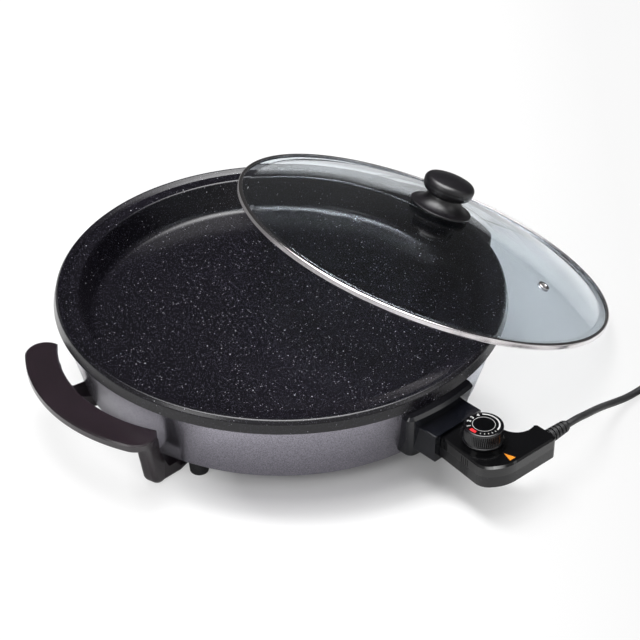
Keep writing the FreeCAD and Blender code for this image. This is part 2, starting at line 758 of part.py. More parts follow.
def leg_shape(angle):
    """Leg, foot and arm as one bent plate with soft outer edges, standing radially at an angle."""
    grip_low = float(size("grip_top")) - float(size("grip_thickness")) + 1.5
    outer = float(size("foot_outer"))
    arm = float(size("arm_inner"))
    seat = float(shell_bottom)
    half = float(size("leg_width")) / 2
    wide = float(size("arm_width")) / 2
    corners = [
        Vector(arm, -wide, 0.0),
        Vector(outer + 6.4, -wide, 0.0),
        Vector(outer + 19.2, -wide, grip_low),
        Vector(outer + 3.0, -wide, grip_low),
        Vector(outer + 0.5, -wide, seat + 23.0),
        Vector(outer - 10.0, -wide, seat),
        Vector(arm, -wide, seat),
    ]
    plate = Part.Face(Part.makePolygon(corners + corners[:1])).extrude(Vector(0, 2 * wide, 0))
    across = [edge for edge in plate.Edges if edge.BoundBox.YLength > wide]
    heel = [edge for edge in across
            if edge.BoundBox.ZMax < 0.1 and edge.BoundBox.XMin > outer]
    elbow = [edge for edge in across if abs(edge.BoundBox.XMin - outer + 10.0) < 0.1]
    bend = [edge for edge in across if abs(edge.BoundBox.XMin - outer - 0.5) < 0.1]
    plate = plate.makeFillet(13.0, heel)
    plate = plate.makeFillet(3.0, elbow)
    plate = plate.makeFillet(20.0, bend)
    side = [(arm, wide), (outer - 24.0, wide), (outer - 5.0, half), (outer + 30.0, half)]
    plan = [Vector(along, -over, 0) for along, over in side]
    plan += [Vector(along, over, 0) for along, over in reversed(side)]
    plate = plate.common(Part.Face(Part.makePolygon(plan + plan[:1])).extrude(Vector(0, 0, 100.0)))
    soft = []
    for edge in plate.Edges:
        middle = edge.CenterOfMass
        lengthwise = edge.BoundBox.XLength > 0.05 and abs(middle.y) > half - 1.0
        at_sole = edge.BoundBox.ZMax < 0.01
        at_heel = middle.z < 5.0 and middle.x > outer
        at_front = middle.x > outer + 13.0
        if lengthwise and (at_sole or at_heel or at_front):
            soft.append(edge)
    plate = plate.makeFillet(4.5, soft)
    screw = float(size("arm_screw"))
    hole = Part.makeCylinder(2.7, seat + 2.0, Vector(screw, 0, -1.0))
    sink = Part.makeCylinder(5.2, 5.0, Vector(screw, 0, -1.0))
    plate = plate.cut(hole.fuse(sink))
    plate.rotate(Vector(0, 0, 0), Vector(0, 0, 1), angle)
    return plate


def make_handles():
    near = float(size("near_leg_angle"))
    far = float(size("far_leg_angle"))
    upright = Vector(0, 0, 1)
    right = Placement(Vector(0, 0, 0), Rotation(upright, float(size("right_handle_angle"))))
    left = Placement(Vector(0, 0, 0), Rotation(upright, 180.0 - float(size("left_handle_angle"))))
    keep("right_handle", feature("right_handle", handle_shape(near, far), right))
    keep("left_handle", feature("left_handle", handle_shape(far, near), left))
    screw_x = size("arm_screw")
    head = cylinder(4.6, 3.0, screw_x, 0.0, 0.9)
    shank = cylinder(2.5, plate_top + 3.6 - 3.9, screw_x, 0.0, 3.9)
    keep("handle_screws", around("handle_screws", fuse("handle_screw", head, shank),
                                 leg_places()))
    nut = cylinder(4.6, 3.2, screw_x, 0.0, plate_top)
    bore = cylinder(2.6, 5.0, screw_x, 0.0, plate_top - 1.0)
    keep("handle_nuts", around("handle_nuts", cut("handle_nut", nut, bore), leg_places()))


def make_feet():
    """Round feet under the flange, each on its own screw, and the three base screws."""
    circle = size("foot_circle")
    radius = size("foot_radius")
    foot = cone(radius - 1.5, radius, shell_bottom, circle, 0.0, 0.0)
    sink = cylinder(4.4, 5.0, circle, 0.0, -1.0)
    bore = cylinder(2.3, shell_bottom + 2.0, circle, 0.0, -1.0)
    keep("round_feet", around("round_feet", cut("round_foot", foot, sink, bore), foot_places()))
    head = cylinder(4.0, 2.2, circle, 0.0, 1.6)
    shank = cylinder(2.1, plate_top + 3.4 - 3.8, circle, 0.0, 3.8)
    keep("foot_screws", around("foot_screws", fuse("foot_screw", head, shank), foot_places()))
    nut = cylinder(4.0, 3.0, circle, 0.0, plate_top)
    nut_bore = cylinder(2.2, 5.0, circle, 0.0, plate_top - 1.0)
    keep("foot_nuts", around("foot_nuts", cut("foot_nut", nut, nut_bore), foot_places()))
    boss = size("boss_circle")
    base_head = cylinder(4.2, 2.6, boss, 0.0, plate_bottom - 2.6)
    base_shank = cylinder(2.0, 14.0, boss, 0.0, plate_bottom)
    keep("base_screws", around("base_screws", fuse("base_screw", base_head, base_shank),
                               (90.0, 210.0, 330.0)))


def dome_sphere(height, edge_radius):
    """Radius of the sphere that rises to height above a circle of edge_radius."""
    return (edge_radius ** 2 + height ** 2) / (2 * height)


glass_low = 0.9
glass_edge = float(size("lid_radius")) - float(size("lid_band_wall")) - 0.2
dome_rim = float(size("lid_radius") - size("dome_edge"))
dome_rise = float(size("dome_height")) - glass_low
sphere_radius = dome_sphere(dome_rise, dome_rim)
sphere_drop = float(size("dome_height")) - sphere_radius
shoulder = float(size("dome_shoulder"))
crown_edge = float(size("dome_crown"))
shoulder_slope = math.asin(shoulder / sphere_radius)


def on_sphere(radius, drop, across):
    return drop + math.sqrt(radius ** 2 - across ** 2)


shoulder_height = on_sphere(sphere_radius, sphere_drop, shoulder)
crown_edge_height = shoulder_height + (shoulder - crown_edge) * math.tan(shoulder_slope)
crown_radius = crown_edge / math.sin(shoulder_slope)
crown_drop = crown_edge_height - math.sqrt(crown_radius ** 2 - crown_edge ** 2)
apex_inside = crown_drop + crown_radius


def lid_lean():
    """Tilt at which the low edge is on the table and the dome is just clear of the rim."""
    reach = float(size("lid_reach"))
    radius = float(size("lid_radius"))
    crest = float(crest_radius)
    top = float(crest_height)
    gap = float(size("lid_gap"))

    def clearance(tilt):
        centre_x = reach - radius * math.cos(tilt) + sphere_drop * math.sin(tilt)
        centre_z = radius * math.sin(tilt) + sphere_drop * math.cos(tilt)
        normal = Vector(math.sin(tilt), 0, math.cos(tilt))
        worst = 1e9
        for step in range(0, 91):
            turn = math.radians(step)
            away = Vector(crest * math.cos(turn) - centre_x, crest * math.sin(turn),
                          top - centre_z)
            height = away.dot(normal) + sphere_drop
            across = math.sqrt(max(0.0, away.Length ** 2 - (height - sphere_drop) ** 2))
            if across < dome_rim:
                worst = min(worst, sphere_radius - away.Length)
            elif across < radius + 1.0:
                worst = min(worst, -height)
        return worst - gap

    low, high = math.radians(5.0), math.radians(60.0)
    for _ in range(60):
        middle = (low + high) / 2
        if clearance(middle) > 0:
            high = middle
        else:
            low = middle
    return (low + high) / 2


tilt = lid_lean()
lid_frame = Placement(Vector(0, 0, 0), Rotation(Vector(0, 0, 1), float(size("lid_azimuth"))))
lid_frame = lid_frame.multiply(Placement(
    Vector(float(size("lid_reach")) - float(size("lid_radius")) * math.cos(tilt), 0,
           float(size("lid_radius")) * math.sin(tilt)),
    Rotation(Vector(0, 1, 0), math.degrees(tilt))))
print("lid tilt", round(math.degrees(tilt), 2), "centre", lid_frame.Base)


def turned_shape(points, arcs=()):
    """A solid turned about Z from points in the XZ plane; arcs gives a middle point by index."""
    middles = dict(arcs)
    edges = []
    places = [Vector(across, 0, up) for across, up in points]
    for index, start in enumerate(places):
        end = places[(index + 1) % len(places)]
        if index in middles:
            across, up = middles[index]
            edges.append(Part.Arc(start, Vector(across, 0, up), end).toShape())
        else:
            edges.append(Part.LineSegment(start, end).toShape())
    return Part.Face(Part.Wire(edges)).revolve(Vector(0, 0, 0), Vector(0, 0, 1), 360)


def make_lid():
    """Tempered glass dome, rolled steel band and steam vent, in the leaning lid's frame."""
    thick = float(size("glass_thickness"))
    bore = 4.0
    middle_out = (shoulder + dome_rim) / 2
    middle_in = (bore + crown_edge) / 2
    upper = [
        (bore, on_sphere(crown_radius, crown_drop, bore)),
        (crown_edge, crown_edge_height),
        (shoulder, shoulder_height),
        (dome_rim, glass_low),
    ]
    middle_points = (
        (middle_in, on_sphere(crown_radius, crown_drop, middle_in)),
        (middle_out, on_sphere(sphere_radius, sphere_drop, middle_out)),
    )
    lifted = [(across, up + thick) for across, up in upper]
    edge = [(glass_edge, glass_low), (glass_edge, glass_low + thick)]
    glass = turned_shape(
        upper + edge + lifted[::-1],
        [(0, middle_points[0]), (2, middle_points[1]),
         (6, (middle_points[1][0], middle_points[1][1] + thick)),
         (8, (middle_points[0][0], middle_points[0][1] + thick))])
    place = float(size("vent_place"))
    angle = math.radians(float(size("vent_angle")))
    slope = math.degrees(math.asin(place / sphere_radius))
    surface = on_sphere(sphere_radius, sphere_drop, place)
    vent_frame = Placement(Vector(0, 0, 0), Rotation(Vector(0, 0, 1), math.degrees(angle)))
    vent_frame = vent_frame.multiply(Placement(Vector(place, 0, surface),
                                               Rotation(Vector(0, 1, 0), slope)))
    hole_radius = float(size("vent_hole_radius"))
    hole = Part.makeCylinder(hole_radius, 30.0, Vector(0, 0, -15.0))
    hole.Placement = vent_frame
    keep("lid_glass", feature("lid_glass", glass.cut(hole), lid_frame))
    radius = float(size("lid_radius"))
    wall = float(size("lid_band_wall"))
    height = float(size("lid_band_height"))
    lap = 3.6
    band = turned_shape([
        (radius, 0.0), (radius, height), (radius - lap, height), (radius - lap, height - wall),
        (radius - wall, height - wall), (radius - wall, wall), (radius - lap, wall),
        (radius - lap, 0.0)])
    keep("lid_band", feature("lid_band", band, lid_frame))
    sleeve = Part.makeCylinder(hole_radius - 0.1, thick + 1.6, Vector(0, 0, -0.9))
    upper = Part.makeCylinder(hole_radius + 1.8, 0.8, Vector(0, 0, thick + 0.1))
    lower = Part.makeCylinder(hole_radius + 1.8, 0.8, Vector(0, 0, -0.9))
    opening = Part.makeCylinder(hole_radius - 1.4, thick + 4.0, Vector(0, 0, -2.0))
    grommet = sleeve.fuse([upper, lower]).cut(opening)
    keep("vent_grommet", feature("vent_grommet", grommet, lid_frame.multiply(vent_frame)))


def make_lid_knob():
    """Knob in two mouldings on a soft seal, held by a screw from inside the lid."""
    thick = float(size("glass_thickness"))
    apex = apex_inside + thick
    seal_top = apex + float(size("seal_height"))
    neck = float(size("knob_neck"))
    skirt = float(size("skirt_radius"))
    joint = seal_top + float(size("skirt_height"))
    cap = float(size("knob_radius"))
    top = seal_top + float(size("knob_height"))
    screw = 2.5
    crown = cap - 2.2
    crown_low = top - 3.8
    widest = top - 10.5
    crown_ball = dome_sphere(top - crown_low, crown)
    seal = turned_shape([(4.5, apex + 0.05), (12.0, apex - 0.05), (12.0, seal_top),
                         (4.5, seal_top)])
    keep("knob_seal", feature("knob_seal", seal, lid_frame))
    base = turned_shape(
        [(screw + 0.1, seal_top), (skirt - 1.2, seal_top), (skirt, seal_top + 1.2),
         (skirt, seal_top + 2.4), (neck, joint), (screw + 0.1, joint)],
        [(3, (neck + 3.6, seal_top + 6.2))])
    keep("knob_base", feature("knob_base", base, lid_frame))
    knob = turned_shape(
        [(0.0, joint + 9.0), (screw + 0.1, joint + 9.0), (screw + 0.1, joint), (neck, joint),
         (neck + 0.6, joint + 2.0), (cap, widest), (crown, crown_low), (0.0, top)],
        [(5, (cap - 0.3, (widest + crown_low) / 2 + 0.8)),
         (6, (crown / 2, on_sphere(crown_ball, top - crown_ball, crown / 2)))])
    keep("lid_knob", feature("lid_knob", knob, lid_frame))
    inside = apex_inside
    washer = turned_shape([(screw + 0.1, inside - 1.6), (10.0, inside - 1.6),
                           (10.0, inside - 0.2), (screw + 0.1, inside - 0.2)])
    keep("knob_washer", feature("knob_washer", washer, lid_frame))
    shank = Part.makeCylinder(screw, joint + 8.0 - inside + 1.6, Vector(0, 0, inside - 1.6))
    head = Part.makeCylinder(5.0, 2.4, Vector(0, 0, inside - 4.0))
    keep("knob_screw", feature("knob_screw", shank.fuse(head), lid_frame))


probe_bottom = float(size("socket_bottom") + size("socket_wall") + size("probe_gap"))
probe_top = float(size("socket_top") - size("socket_wall") - size("probe_gap"))
parting = float(size("parting_height"))
cord_y = -float(size("cord_line"))
mouth_y = -float(size("socket_front"))
dial_place = Vector(float(size("dial_x")), float(size("dial_y")), 0)


def probe_outline(inset):
    """Plan of the thermostat: a nose that turns into a side arm, drawn in by inset."""
    half = float(size("probe_half_width")) - inset
    nose = -float(size("nose_front")) - inset
    end = float(size("probe_end")) - inset
    front = cord_y - 13.5 + inset
    back = cord_y + 12.5 - inset
    left = middle_x - 27.0 + inset
    points = [
        Vector(middle_x - half, nose, 0),
        Vector(middle_x - half, mouth_y - 2.0, 0),
        Vector(left, cord_y + 8.5, 0),
        Vector(left + 7.0, front + 9.0, 0),
        Vector(left + 28.0, front + 1.2, 0),
        Vector(end - 5.0, front, 0),
        Vector(end, front + 5.0, 0),
        Vector(end, back - 2.0, 0),
        Vector(end - 2.0, back, 0),
        Vector(middle_x + half + 5.0, cord_y + 29.5 - inset, 0),
        Vector(middle_x + half, mouth_y - 8.0, 0),
        Vector(middle_x + half, nose, 0),
    ]
    corner = Vector(left + 1.6, cord_y + 1.5 + inset * 0.4, 0)
    sweep = Vector(left + 16.0, front + 3.8, 0)
    end_corner = Vector(end - 1.5, front + 1.5, 0)
    hollow = Vector(middle_x + half + 11.0, back + 3.2, 0)
    edges = []
    middles = {2: corner, 3: sweep, 5: end_corner, 8: hollow}
    for index, start in enumerate(points):
        finish = points[(index + 1) % len(points)]
        if index in middles:
            edges.append(Part.Arc(start, middles[index], finish).toShape())
        else:
            edges.append(Part.LineSegment(start, finish).toShape())
    return Part.Face(Part.Wire(edges))


def slab(inset, low, high):
    solid = probe_outline(inset).extrude(Vector(0, 0, high - low))
    solid.translate(Vector(0, 0, low))
    return solid


def bevelled_top(bevel):
    """The top layer of the housing, drawn in over its height."""
    lower_wire = probe_outline(0.0).OuterWire
    upper_wire = probe_outline(bevel).OuterWire
    lower_wire.translate(Vector(0, 0, probe_top - bevel))
    upper_wire.translate(Vector(0, 0, probe_top))
    return Part.makeLoft([lower_wire, upper_wire], True, True)


SCREW_PLACES = ((-21.0, cord_y + 17.5), (22.0, cord_y - 6.5), (14.0, cord_y + 42.5))


def front_cylinder(radius, x, near, far):
    """A cylinder along -Y at the rod's height, between two distances from the axis."""
    return Part.makeCylinder(radius, far - near, Vector(middle_x + x, -near, float(rod_height)),
                             Vector(0, -1, 0))


def nose_openings():
    """Holes in the nose for the sensor rod and the two contact sleeves."""
    front = float(size("nose_front"))
    openings = front_cylinder(float(size("rod_radius")) + 0.15, 0.0, front - 5, front + 5)
    for side in (-1, 1):
        openings = openings.fuse(front_cylinder(4.05, side * float(pin_x), front - 5, front + 5))
    exit_hole = Part.makeCylinder(5.2, 12.0, Vector(float(size("probe_end")) - 6, cord_y, parting),
                                  Vector(1, 0, 0))
    return openings.fuse(exit_hole)


def lens_wire(grow, height):
    """Triangular lens outline in front of the dial, its tip towards the dial."""
    tip = Vector(dial_place.x + 1.0, dial_place.y - 24.0 + grow * 2, height)
    right = Vector(tip.x + 3.2 + grow, dial_place.y - 34.0 - grow, height)
    left = Vector(tip.x - 3.2 - grow, dial_place.y - 34.0 - grow, height)
    return Part.Face(Part.makePolygon([tip, right, left, tip]))


def make_housings():
    """The thermostat's two moulded halves with bosses, dial seat and lens opening."""
    wall = float(size("probe_wall"))
    lower = slab(0.0, probe_bottom, parting).cut(slab(wall, probe_bottom + wall, parting + 1))
    bevel = 1.6
    upper = slab(0.0, parting, probe_top - bevel).fuse(bevelled_top(bevel))
    upper = upper.cut(slab(wall, parting - 1, probe_top - wall))
    for x, y in SCREW_PLACES:
        lower = lower.fuse(Part.makeCylinder(3.2, parting - probe_bottom, Vector(x, y, probe_bottom)))
        upper = upper.fuse(Part.makeCylinder(3.0, probe_top - parting - 1.0, Vector(x, y, parting)))
        lower = lower.cut(Part.makeCylinder(1.7, 20.0, Vector(x, y, probe_bottom - 1)))
        lower = lower.cut(Part.makeCylinder(2.8, 2.6, Vector(x, y, probe_bottom - 1)))
        upper = upper.cut(Part.makeCylinder(1.5, 6.5, Vector(x, y, parting - 1)))
    post = Part.makeBox(8.0, 4.0, parting + 0.5 - probe_bottom,
                        Vector(dial_place.x - 3.0, dial_place.y - 33.0, probe_bottom + 0.5))
    lower = lower.fuse(post)
    seat_low = Part.makeCylinder(20.8, 1.6, Vector(dial_place.x, dial_place.y, probe_top - 0.1))
    seat_high = Part.makeCylinder(19.2, 1.4, Vector(dial_place.x, dial_place.y, probe_top + 1.5))
    bore = Part.makeCylinder(float(size("spindle_radius")) + 0.6, 12.0,
                             Vector(dial_place.x, dial_place.y, probe_top - 6))
    opening = lens_wire(0.15, probe_top - 6.0).extrude(Vector(0, 0, 8.0))
    upper = upper.fuse([seat_low, seat_high]).cut(bore.fuse(opening))
    for step in range(4):
        y = cord_y + 27.5 - 2.6 * step
        x = middle_x - 22.0 + (y - mouth_y + 2.0) * 5.0 / 45.0
        groove = Part.makeBox(1.4, 0.9, probe_top - probe_bottom - 5.0,
                              Vector(x - 0.9, y, probe_bottom + 2.0))
        lower = lower.cut(groove)
        upper = upper.cut(groove)
    openings = nose_openings()
    keep("thermostat_lower_housing",
         feature("thermostat_lower_housing", lower.cut(openings).removeSplitter()))
    keep("thermostat_upper_housing",
         feature("thermostat_upper_housing", upper.cut(openings).removeSplitter()))
    screws = []
    for x, y in SCREW_PLACES:
        head = Part.makeCylinder(2.6, 1.6, Vector(x, y, probe_bottom))
        shank = Part.makeCylinder(1.4, parting + 5.0 - probe_bottom - 1.6,
                                  Vector(x, y, probe_bottom + 1.6))
        screws.append(head.fuse(shank))
    keep("housing_screws", feature("housing_screws", Part.makeCompound(screws)))
    thick = probe_top + 0.4 - (probe_top - wall)
    lens = lens_wire(0.0, probe_top - wall).extrude(Vector(0, 0, thick))
    flange = lens_wire(0.9, probe_top - wall - 1.0).extrude(Vector(0, 0, 1.0))
    keep("indicator_lens", feature("indicator_lens", lens.fuse(flange)))
    lamp = Part.makeCylinder(3.0, 12.0, Vector(dial_place.x - 5.0, dial_place.y - 31.0, parting + 4.0),
                             Vector(1, 0, 0))
    keep("neon_lamp", feature("neon_lamp", lamp))


def make_probe_insides():
    """Sensor rod, contact sleeves, frame, contact stack, blades and cord clamp."""
    height = float(rod_height)
    floor = probe_bottom + float(size("probe_wall"))
    front = float(size("nose_front"))
    tip = float(size("rod_tip"))
    rod = front_cylinder(float(size("rod_radius")), 0.0, tip + 3.2, front + 23.0)
    end = Part.makeSphere(float(size("rod_radius")), Vector(middle_x, -tip - 3.2, height))
    keep("sensor_rod", feature("sensor_rod", rod.fuse(end)))
    sleeves = []
    for side in (-1, 1):
        x = side * float(pin_x)
        sleeve = front_cylinder(3.9, x, front + 0.2, front + 26.0)
        bore = front_cylinder(float(size("pin_radius")) + 0.3, x, front - 1.0, front + 24.0)
        sleeves.append(sleeve.cut(bore))
    keep("socket_contacts", feature("socket_contacts", Part.makeCompound(sleeves)))
    plate = Part.makeBox(24.0, 44.0, 1.6, Vector(middle_x - 12.0, cord_y + 13.5, floor))
    holder = Part.makeBox(11.0, 8.0, height + 4.5 - floor, Vector(middle_x - 5.5, mouth_y, floor))
    nut = Part.makeCylinder(5.2, parting - 2.5 - floor, Vector(dial_place.x, dial_place.y, floor))
    frame = plate.fuse([holder, nut])
    frame = frame.cut(front_cylinder(float(size("rod_radius")) + 0.1, 0.0, front + 10, front + 23.1))
    frame = frame.cut(Part.makeCylinder(float(size("spindle_radius")) + 0.3, 20.0,
                                        Vector(dial_place.x, dial_place.y, floor - 1)))
    keep("thermostat_frame", feature("thermostat_frame", frame))
    stack = []
    blades = []
    level = floor + 1.6
    for number, thickness in enumerate((3.6, 0.6, 2.4, 0.6, 2.4)):
        if number % 2 == 0:
            stack.append(Part.makeBox(7.0, 8.0, thickness, Vector(middle_x + 4.8, mouth_y - 16.0, level)))
        else:
            blade = Part.makeBox(5.0, 26.0, thickness, Vector(middle_x + 5.8, mouth_y - 40.0, level))
            button_low = level + thickness if number == 1 else level - 0.9
            button = Part.makeCylinder(1.8, 0.9, Vector(middle_x + 8.3, mouth_y - 36.0, button_low))
            blades.append(blade.fuse(button))
        level += thickness
    keep("stack_insulators", feature("stack_insulators", Part.makeCompound(stack)))
    keep("contact_blades", feature("contact_blades", Part.makeCompound(blades)))
    clamp = Part.makeBox(6.0, 14.0, parting - 4.0 - floor,
                         Vector(float(size("probe_end")) - 20.0, cord_y - 7.0, floor))
    keep("cord_clamp", feature("cord_clamp", clamp))


def make_dial():
    """Knurled dial on a threaded spindle, with a printed plate let into its top."""
    low = probe_top + 2.9 + float(size("dial_gap"))
    top = float(size("dial_top"))
    radius = float(size("dial_radius"))
    knob = turned_shape(
        [(0.0, low), (radius + 0.8, low), (radius + 0.8, low + 1.2), (radius, low + 2.0),
         (radius, top - 1.2), (radius - 1.2, top), (radius - 1.8, top), (radius - 1.8, top - 0.5),
         (0.0, top - 0.5)])
    count = 60
    notch = Part.makeCylinder(0.45, top - low - 5.0, Vector(radius + 0.12, 0, low + 2.6))
    notches = []
    for step in range(count):
        copy = notch.copy()
        copy.rotate(Vector(0, 0, 0), Vector(0, 0, 1), 360.0 * step / count)
        notches.append(copy)
    knob = knob.cut(Part.makeCompound(notches))
    spindle_top = top - 4.0
    bore = Part.makeCylinder(float(size("spindle_radius")) + 0.1, spindle_top - low + 1.1,
                             Vector(0, 0, low - 1.0))
    place = Placement(dial_place, Rotation())
    keep("dial_knob", feature("dial_knob", knob.cut(bore), place))
    plate = Part.makeCylinder(radius - 2.0, 0.5, Vector(0, 0, top - 0.5))
    keep("dial_plate", feature("dial_plate", plate, place))
    spindle_low = probe_bottom + float(size("probe_wall")) + 1.0
    spindle = Part.makeCylinder(float(size("spindle_radius")), spindle_top - spindle_low,
                                Vector(0, 0, spindle_low))
    keep("dial_spindle", feature("dial_spindle", spindle, place))


def make_relief():
    """Ribbed, tapered boot where the cord leaves the thermostat."""
    end = float(size("probe_end"))
    length = float(size("relief_length"))
    cord = float(size("cord_radius"))
    wall = float(size("probe_wall"))
    ribs = 5
    points = [(0.0, -wall - 3.0), (7.6, -wall - 3.0), (7.6, -wall - 0.2), (5.0, -wall - 0.2),
              (5.0, 0.2), (7.2, 0.2), (7.2, 2.0)]
    pitch = (length - 5.0) / ribs
    for number in range(ribs):
        start = 2.0 + pitch * number
        root = 5.6 - 1.2 * number / ribs
        crown = 6.6 - 1.2 * number / ribs
        points += [(root, start), (root, start + pitch * 0.4), (crown, start + pitch * 0.4),
                   (crown, start + pitch)]
    points += [(cord + 1.0, length), (0.0, length)]
    boot = turned_shape(points)
    place = Placement(Vector(end, cord_y, parting), ALONG_X)
    keep("strain_relief", feature("strain_relief", boot, place))


def make_cord():
    """Mains cord: a free stretch down to the table, a two-layer coil and a short tail."""
    radius = float(size("cord_radius"))
    pitch = float(size("coil_pitch"))
    turns = float(size("coil_turns"))
    outer = float(size("coil_radius"))
    lift = float(size("coil_lift"))
    start = Vector(float(size("probe_end")) + float(size("relief_length")), cord_y, parting)
    low = radius + lift
    fall = start.z - low
    route = [start, start + Vector(12.5, 0.0, 0.0)]
    for along, inward, share in ((29.0, 2.1, 0.874), (49.0, 7.5, 0.661), (69.0, 13.0, 0.422),
                                 (90.0, 16.2, 0.209), (111.0, 17.7, 0.053), (131.0, 18.5, 0.0),
                                 (151.0, 18.5, 0.0)):
        route.append(Vector(start.x + along, start.y + inward, low + fall * share))
    coil_start = route[-1]
    edges, radii = rounded_route(route)
    free, free_length = tube_along(edges, radius)
    print("free cord", round(free_length, 1), "radii", [round(item, 1) for item in radii])
    keep("power_cord", feature("power_cord", free))

    centre = coil_start + Vector(2 * radius, -outer, 0)
    total = 2 * turns

    def place_at(turn):
        inward = min(turn, total - turn)
        reach = outer - pitch * inward
        rise = max(0.0, min(1.0, (turn - turns + 0.25) / 0.5))
        angle = math.pi / 2 - 2 * math.pi * turn
        spot = centre + Vector(reach * math.cos(angle), reach * math.sin(angle), pitch * rise)
        slope = 0.0 if abs(turn - turns) < 1e-6 or turn in (0.0, total) else (
            -pitch if turn < turns else pitch)
        climb = 2 * pitch if abs(turn - turns) < 0.2 else 0.0
        spin = -2 * math.pi
        heading = Vector(slope * math.cos(angle) - reach * spin * math.sin(angle),
                         slope * math.sin(angle) + reach * spin * math.cos(angle), climb)
        return spot, heading * (1.0 / heading.Length)

    count = int(round(total * 4))
    steps = [place_at(total * number / count) for number in range(count + 1)]
    first_place, first_heading = steps[0]
    last_place, last_heading = steps[-1]
    coil = [Part.LineSegment(first_place - first_heading * (2 * radius), first_place).toShape()]
    for (spot, heading), (next_spot, next_heading) in zip(steps, steps[1:]):
        coil += biarc(spot, heading, next_spot, next_heading)
    coil_end = last_place + last_heading * (2 * radius)
    coil.append(Part.LineSegment(last_place, coil_end).toShape())
    winding, coil_length = tube_along(coil, radius)
    print("coil", round(coil_length, 1), "least gap", round(least_gap(coil, radius), 2))
    keep("cord_coil", feature("cord_coil", winding))

    plug_height = float(size("plug_radius")) + 0.1
    tail_route = [
        coil_end,
        coil_end + Vector(17.0, 0, 0),
        Vector(coil_end.x + 36.0, coil_end.y + 1.0, plug_height),
        Vector(coil_end.x + 53.0, coil_end.y + 1.0, plug_height),
    ]
    tail_edges, tail_radii = rounded_route(tail_route)
    tail, tail_length = tube_along(tail_edges, radius)
    print("tail", round(tail_length, 1), "radii", [round(item, 1) for item in tail_radii])
    keep("cord_tail", feature("cord_tail", tail))
    make_tie(centre, low, pitch, outer, turns)
    make_plug(tail_route[-1])


def least_gap(edges, radius):
    """Least distance between the tube's stretches, measured on points along its path."""
    points = []
    travelled = 0.0
    for edge in edges:
        count = max(2, int(edge.Length / 2.0))
        for point in edge.discretize(Number=count):
            points.append((travelled, point))
            travelled += edge.Length / count
    best = 1e9
    for index, (along, point) in enumerate(points):
        for other_along, other in points[index + 1:]:
            if other_along - along > 40.0:
                best = min(best, point.distanceToPoint(other))
    return best - 2 * radius


def make_tie(centre, low, pitch, outer, turns):
    """Flat strap round the coil's bundle on the side away from the skillet."""
    radius = float(size("cord_radius"))
    inner = outer - pitch * turns - radius - fit
    outside = outer + radius + fit
    bottom = low - radius - fit
    top = low + pitch + radius + fit
    sheet_thickness = 0.5
    width = 9.0
    strap = Part.makeBox(outside - inner + 2 * sheet_thickness, width,
                         top - bottom + 2 * sheet_thickness,
                         Vector(inner - sheet_thickness, -width / 2, bottom - sheet_thickness))
    inside = Part.makeBox(outside - inner, width + 2, top - bottom,
                          Vector(inner, -width / 2 - 1, bottom))
    place = Placement(Vector(centre.x, centre.y, 0), Rotation(Vector(0, 0, 1), -20.0))
    keep("cord_tie", feature("cord_tie", strap.cut(inside), place))


def make_plug(exit_point):
    """Moulded two-pin plug with side earth strips, lying along the table."""
    radius = float(size("plug_radius"))
    cord = float(size("cord_radius"))
    length = float(size("plug_length"))
    neck = 16.0
    body = turned_shape([
        (0.0, 0.0), (cord + 1.4, 0.0), (cord + 2.2, neck - 2.0), (10.5, neck),
        (13.0, neck + 10.0), (radius, neck + 20.0), (radius, neck + length), (0.0, neck + length)])
    place = Placement(exit_point, ALONG_X)
    strips = []
    pins = []
    for side in (-1, 1):
        slot = Part.makeBox(4.4, 2.0, 20.0, Vector(-2.2, 0, neck + length - 16.0))
        slot.translate(Vector(0, radius - 1.9 if side > 0 else -radius - 0.1, 0))
        body = body.cut(slot)
        strip = Part.makeBox(4.0, 1.2, 15.5, Vector(-2.0, 0, neck + length - 16.0))
        strip.translate(Vector(0, radius - 1.9 if side > 0 else -radius + 0.7, 0))
        strips.append(strip)
        pin = Part.makeCylinder(2.4, 19.0, Vector(side * 9.5, 0, neck + length))
        root = Part.makeCylinder(1.8, 8.0, Vector(side * 9.5, 0, neck + length - 8.0))
        pin = pin.fuse(root)
        body = body.cut(Part.makeCylinder(1.8, 9.0, Vector(side * 9.5, 0, neck + length - 8.0)))
        pins.append(pin)
    keep("plug_body", feature("plug_body", body, place))
    keep("plug_pins", feature("plug_pins", Part.makeCompound(pins), place))
    keep("plug_earth_strips", feature("plug_earth_strips", Part.makeCompound(strips), place))


make_pan()
make_shell()
make_bottom_plate()
make_element()
make_clamps()
make_terminals()
make_guard()
make_handles()
make_feet()
make_lid()
make_lid_knob()
make_housings()
make_probe_insides()
make_dial()
make_relief()
make_cord()
doc.recompute()

for thing in doc.Objects:
    if "Invalid" in thing.State or "Error" in thing.State:
        raise RuntimeError("failed object: " + thing.Label)
for node in NODES:
    if node.Shape.isNull() or not node.Shape.isValid():
        raise RuntimeError("bad shape: " + node.Label)
for node in NODES:
    node.Shape.exportStep("parts/" + node.Label + ".step")
print(len(NODES), "nodes")
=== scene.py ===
import math

import bmesh
import bpy
import numpy as np
from mathutils import Matrix, Vector


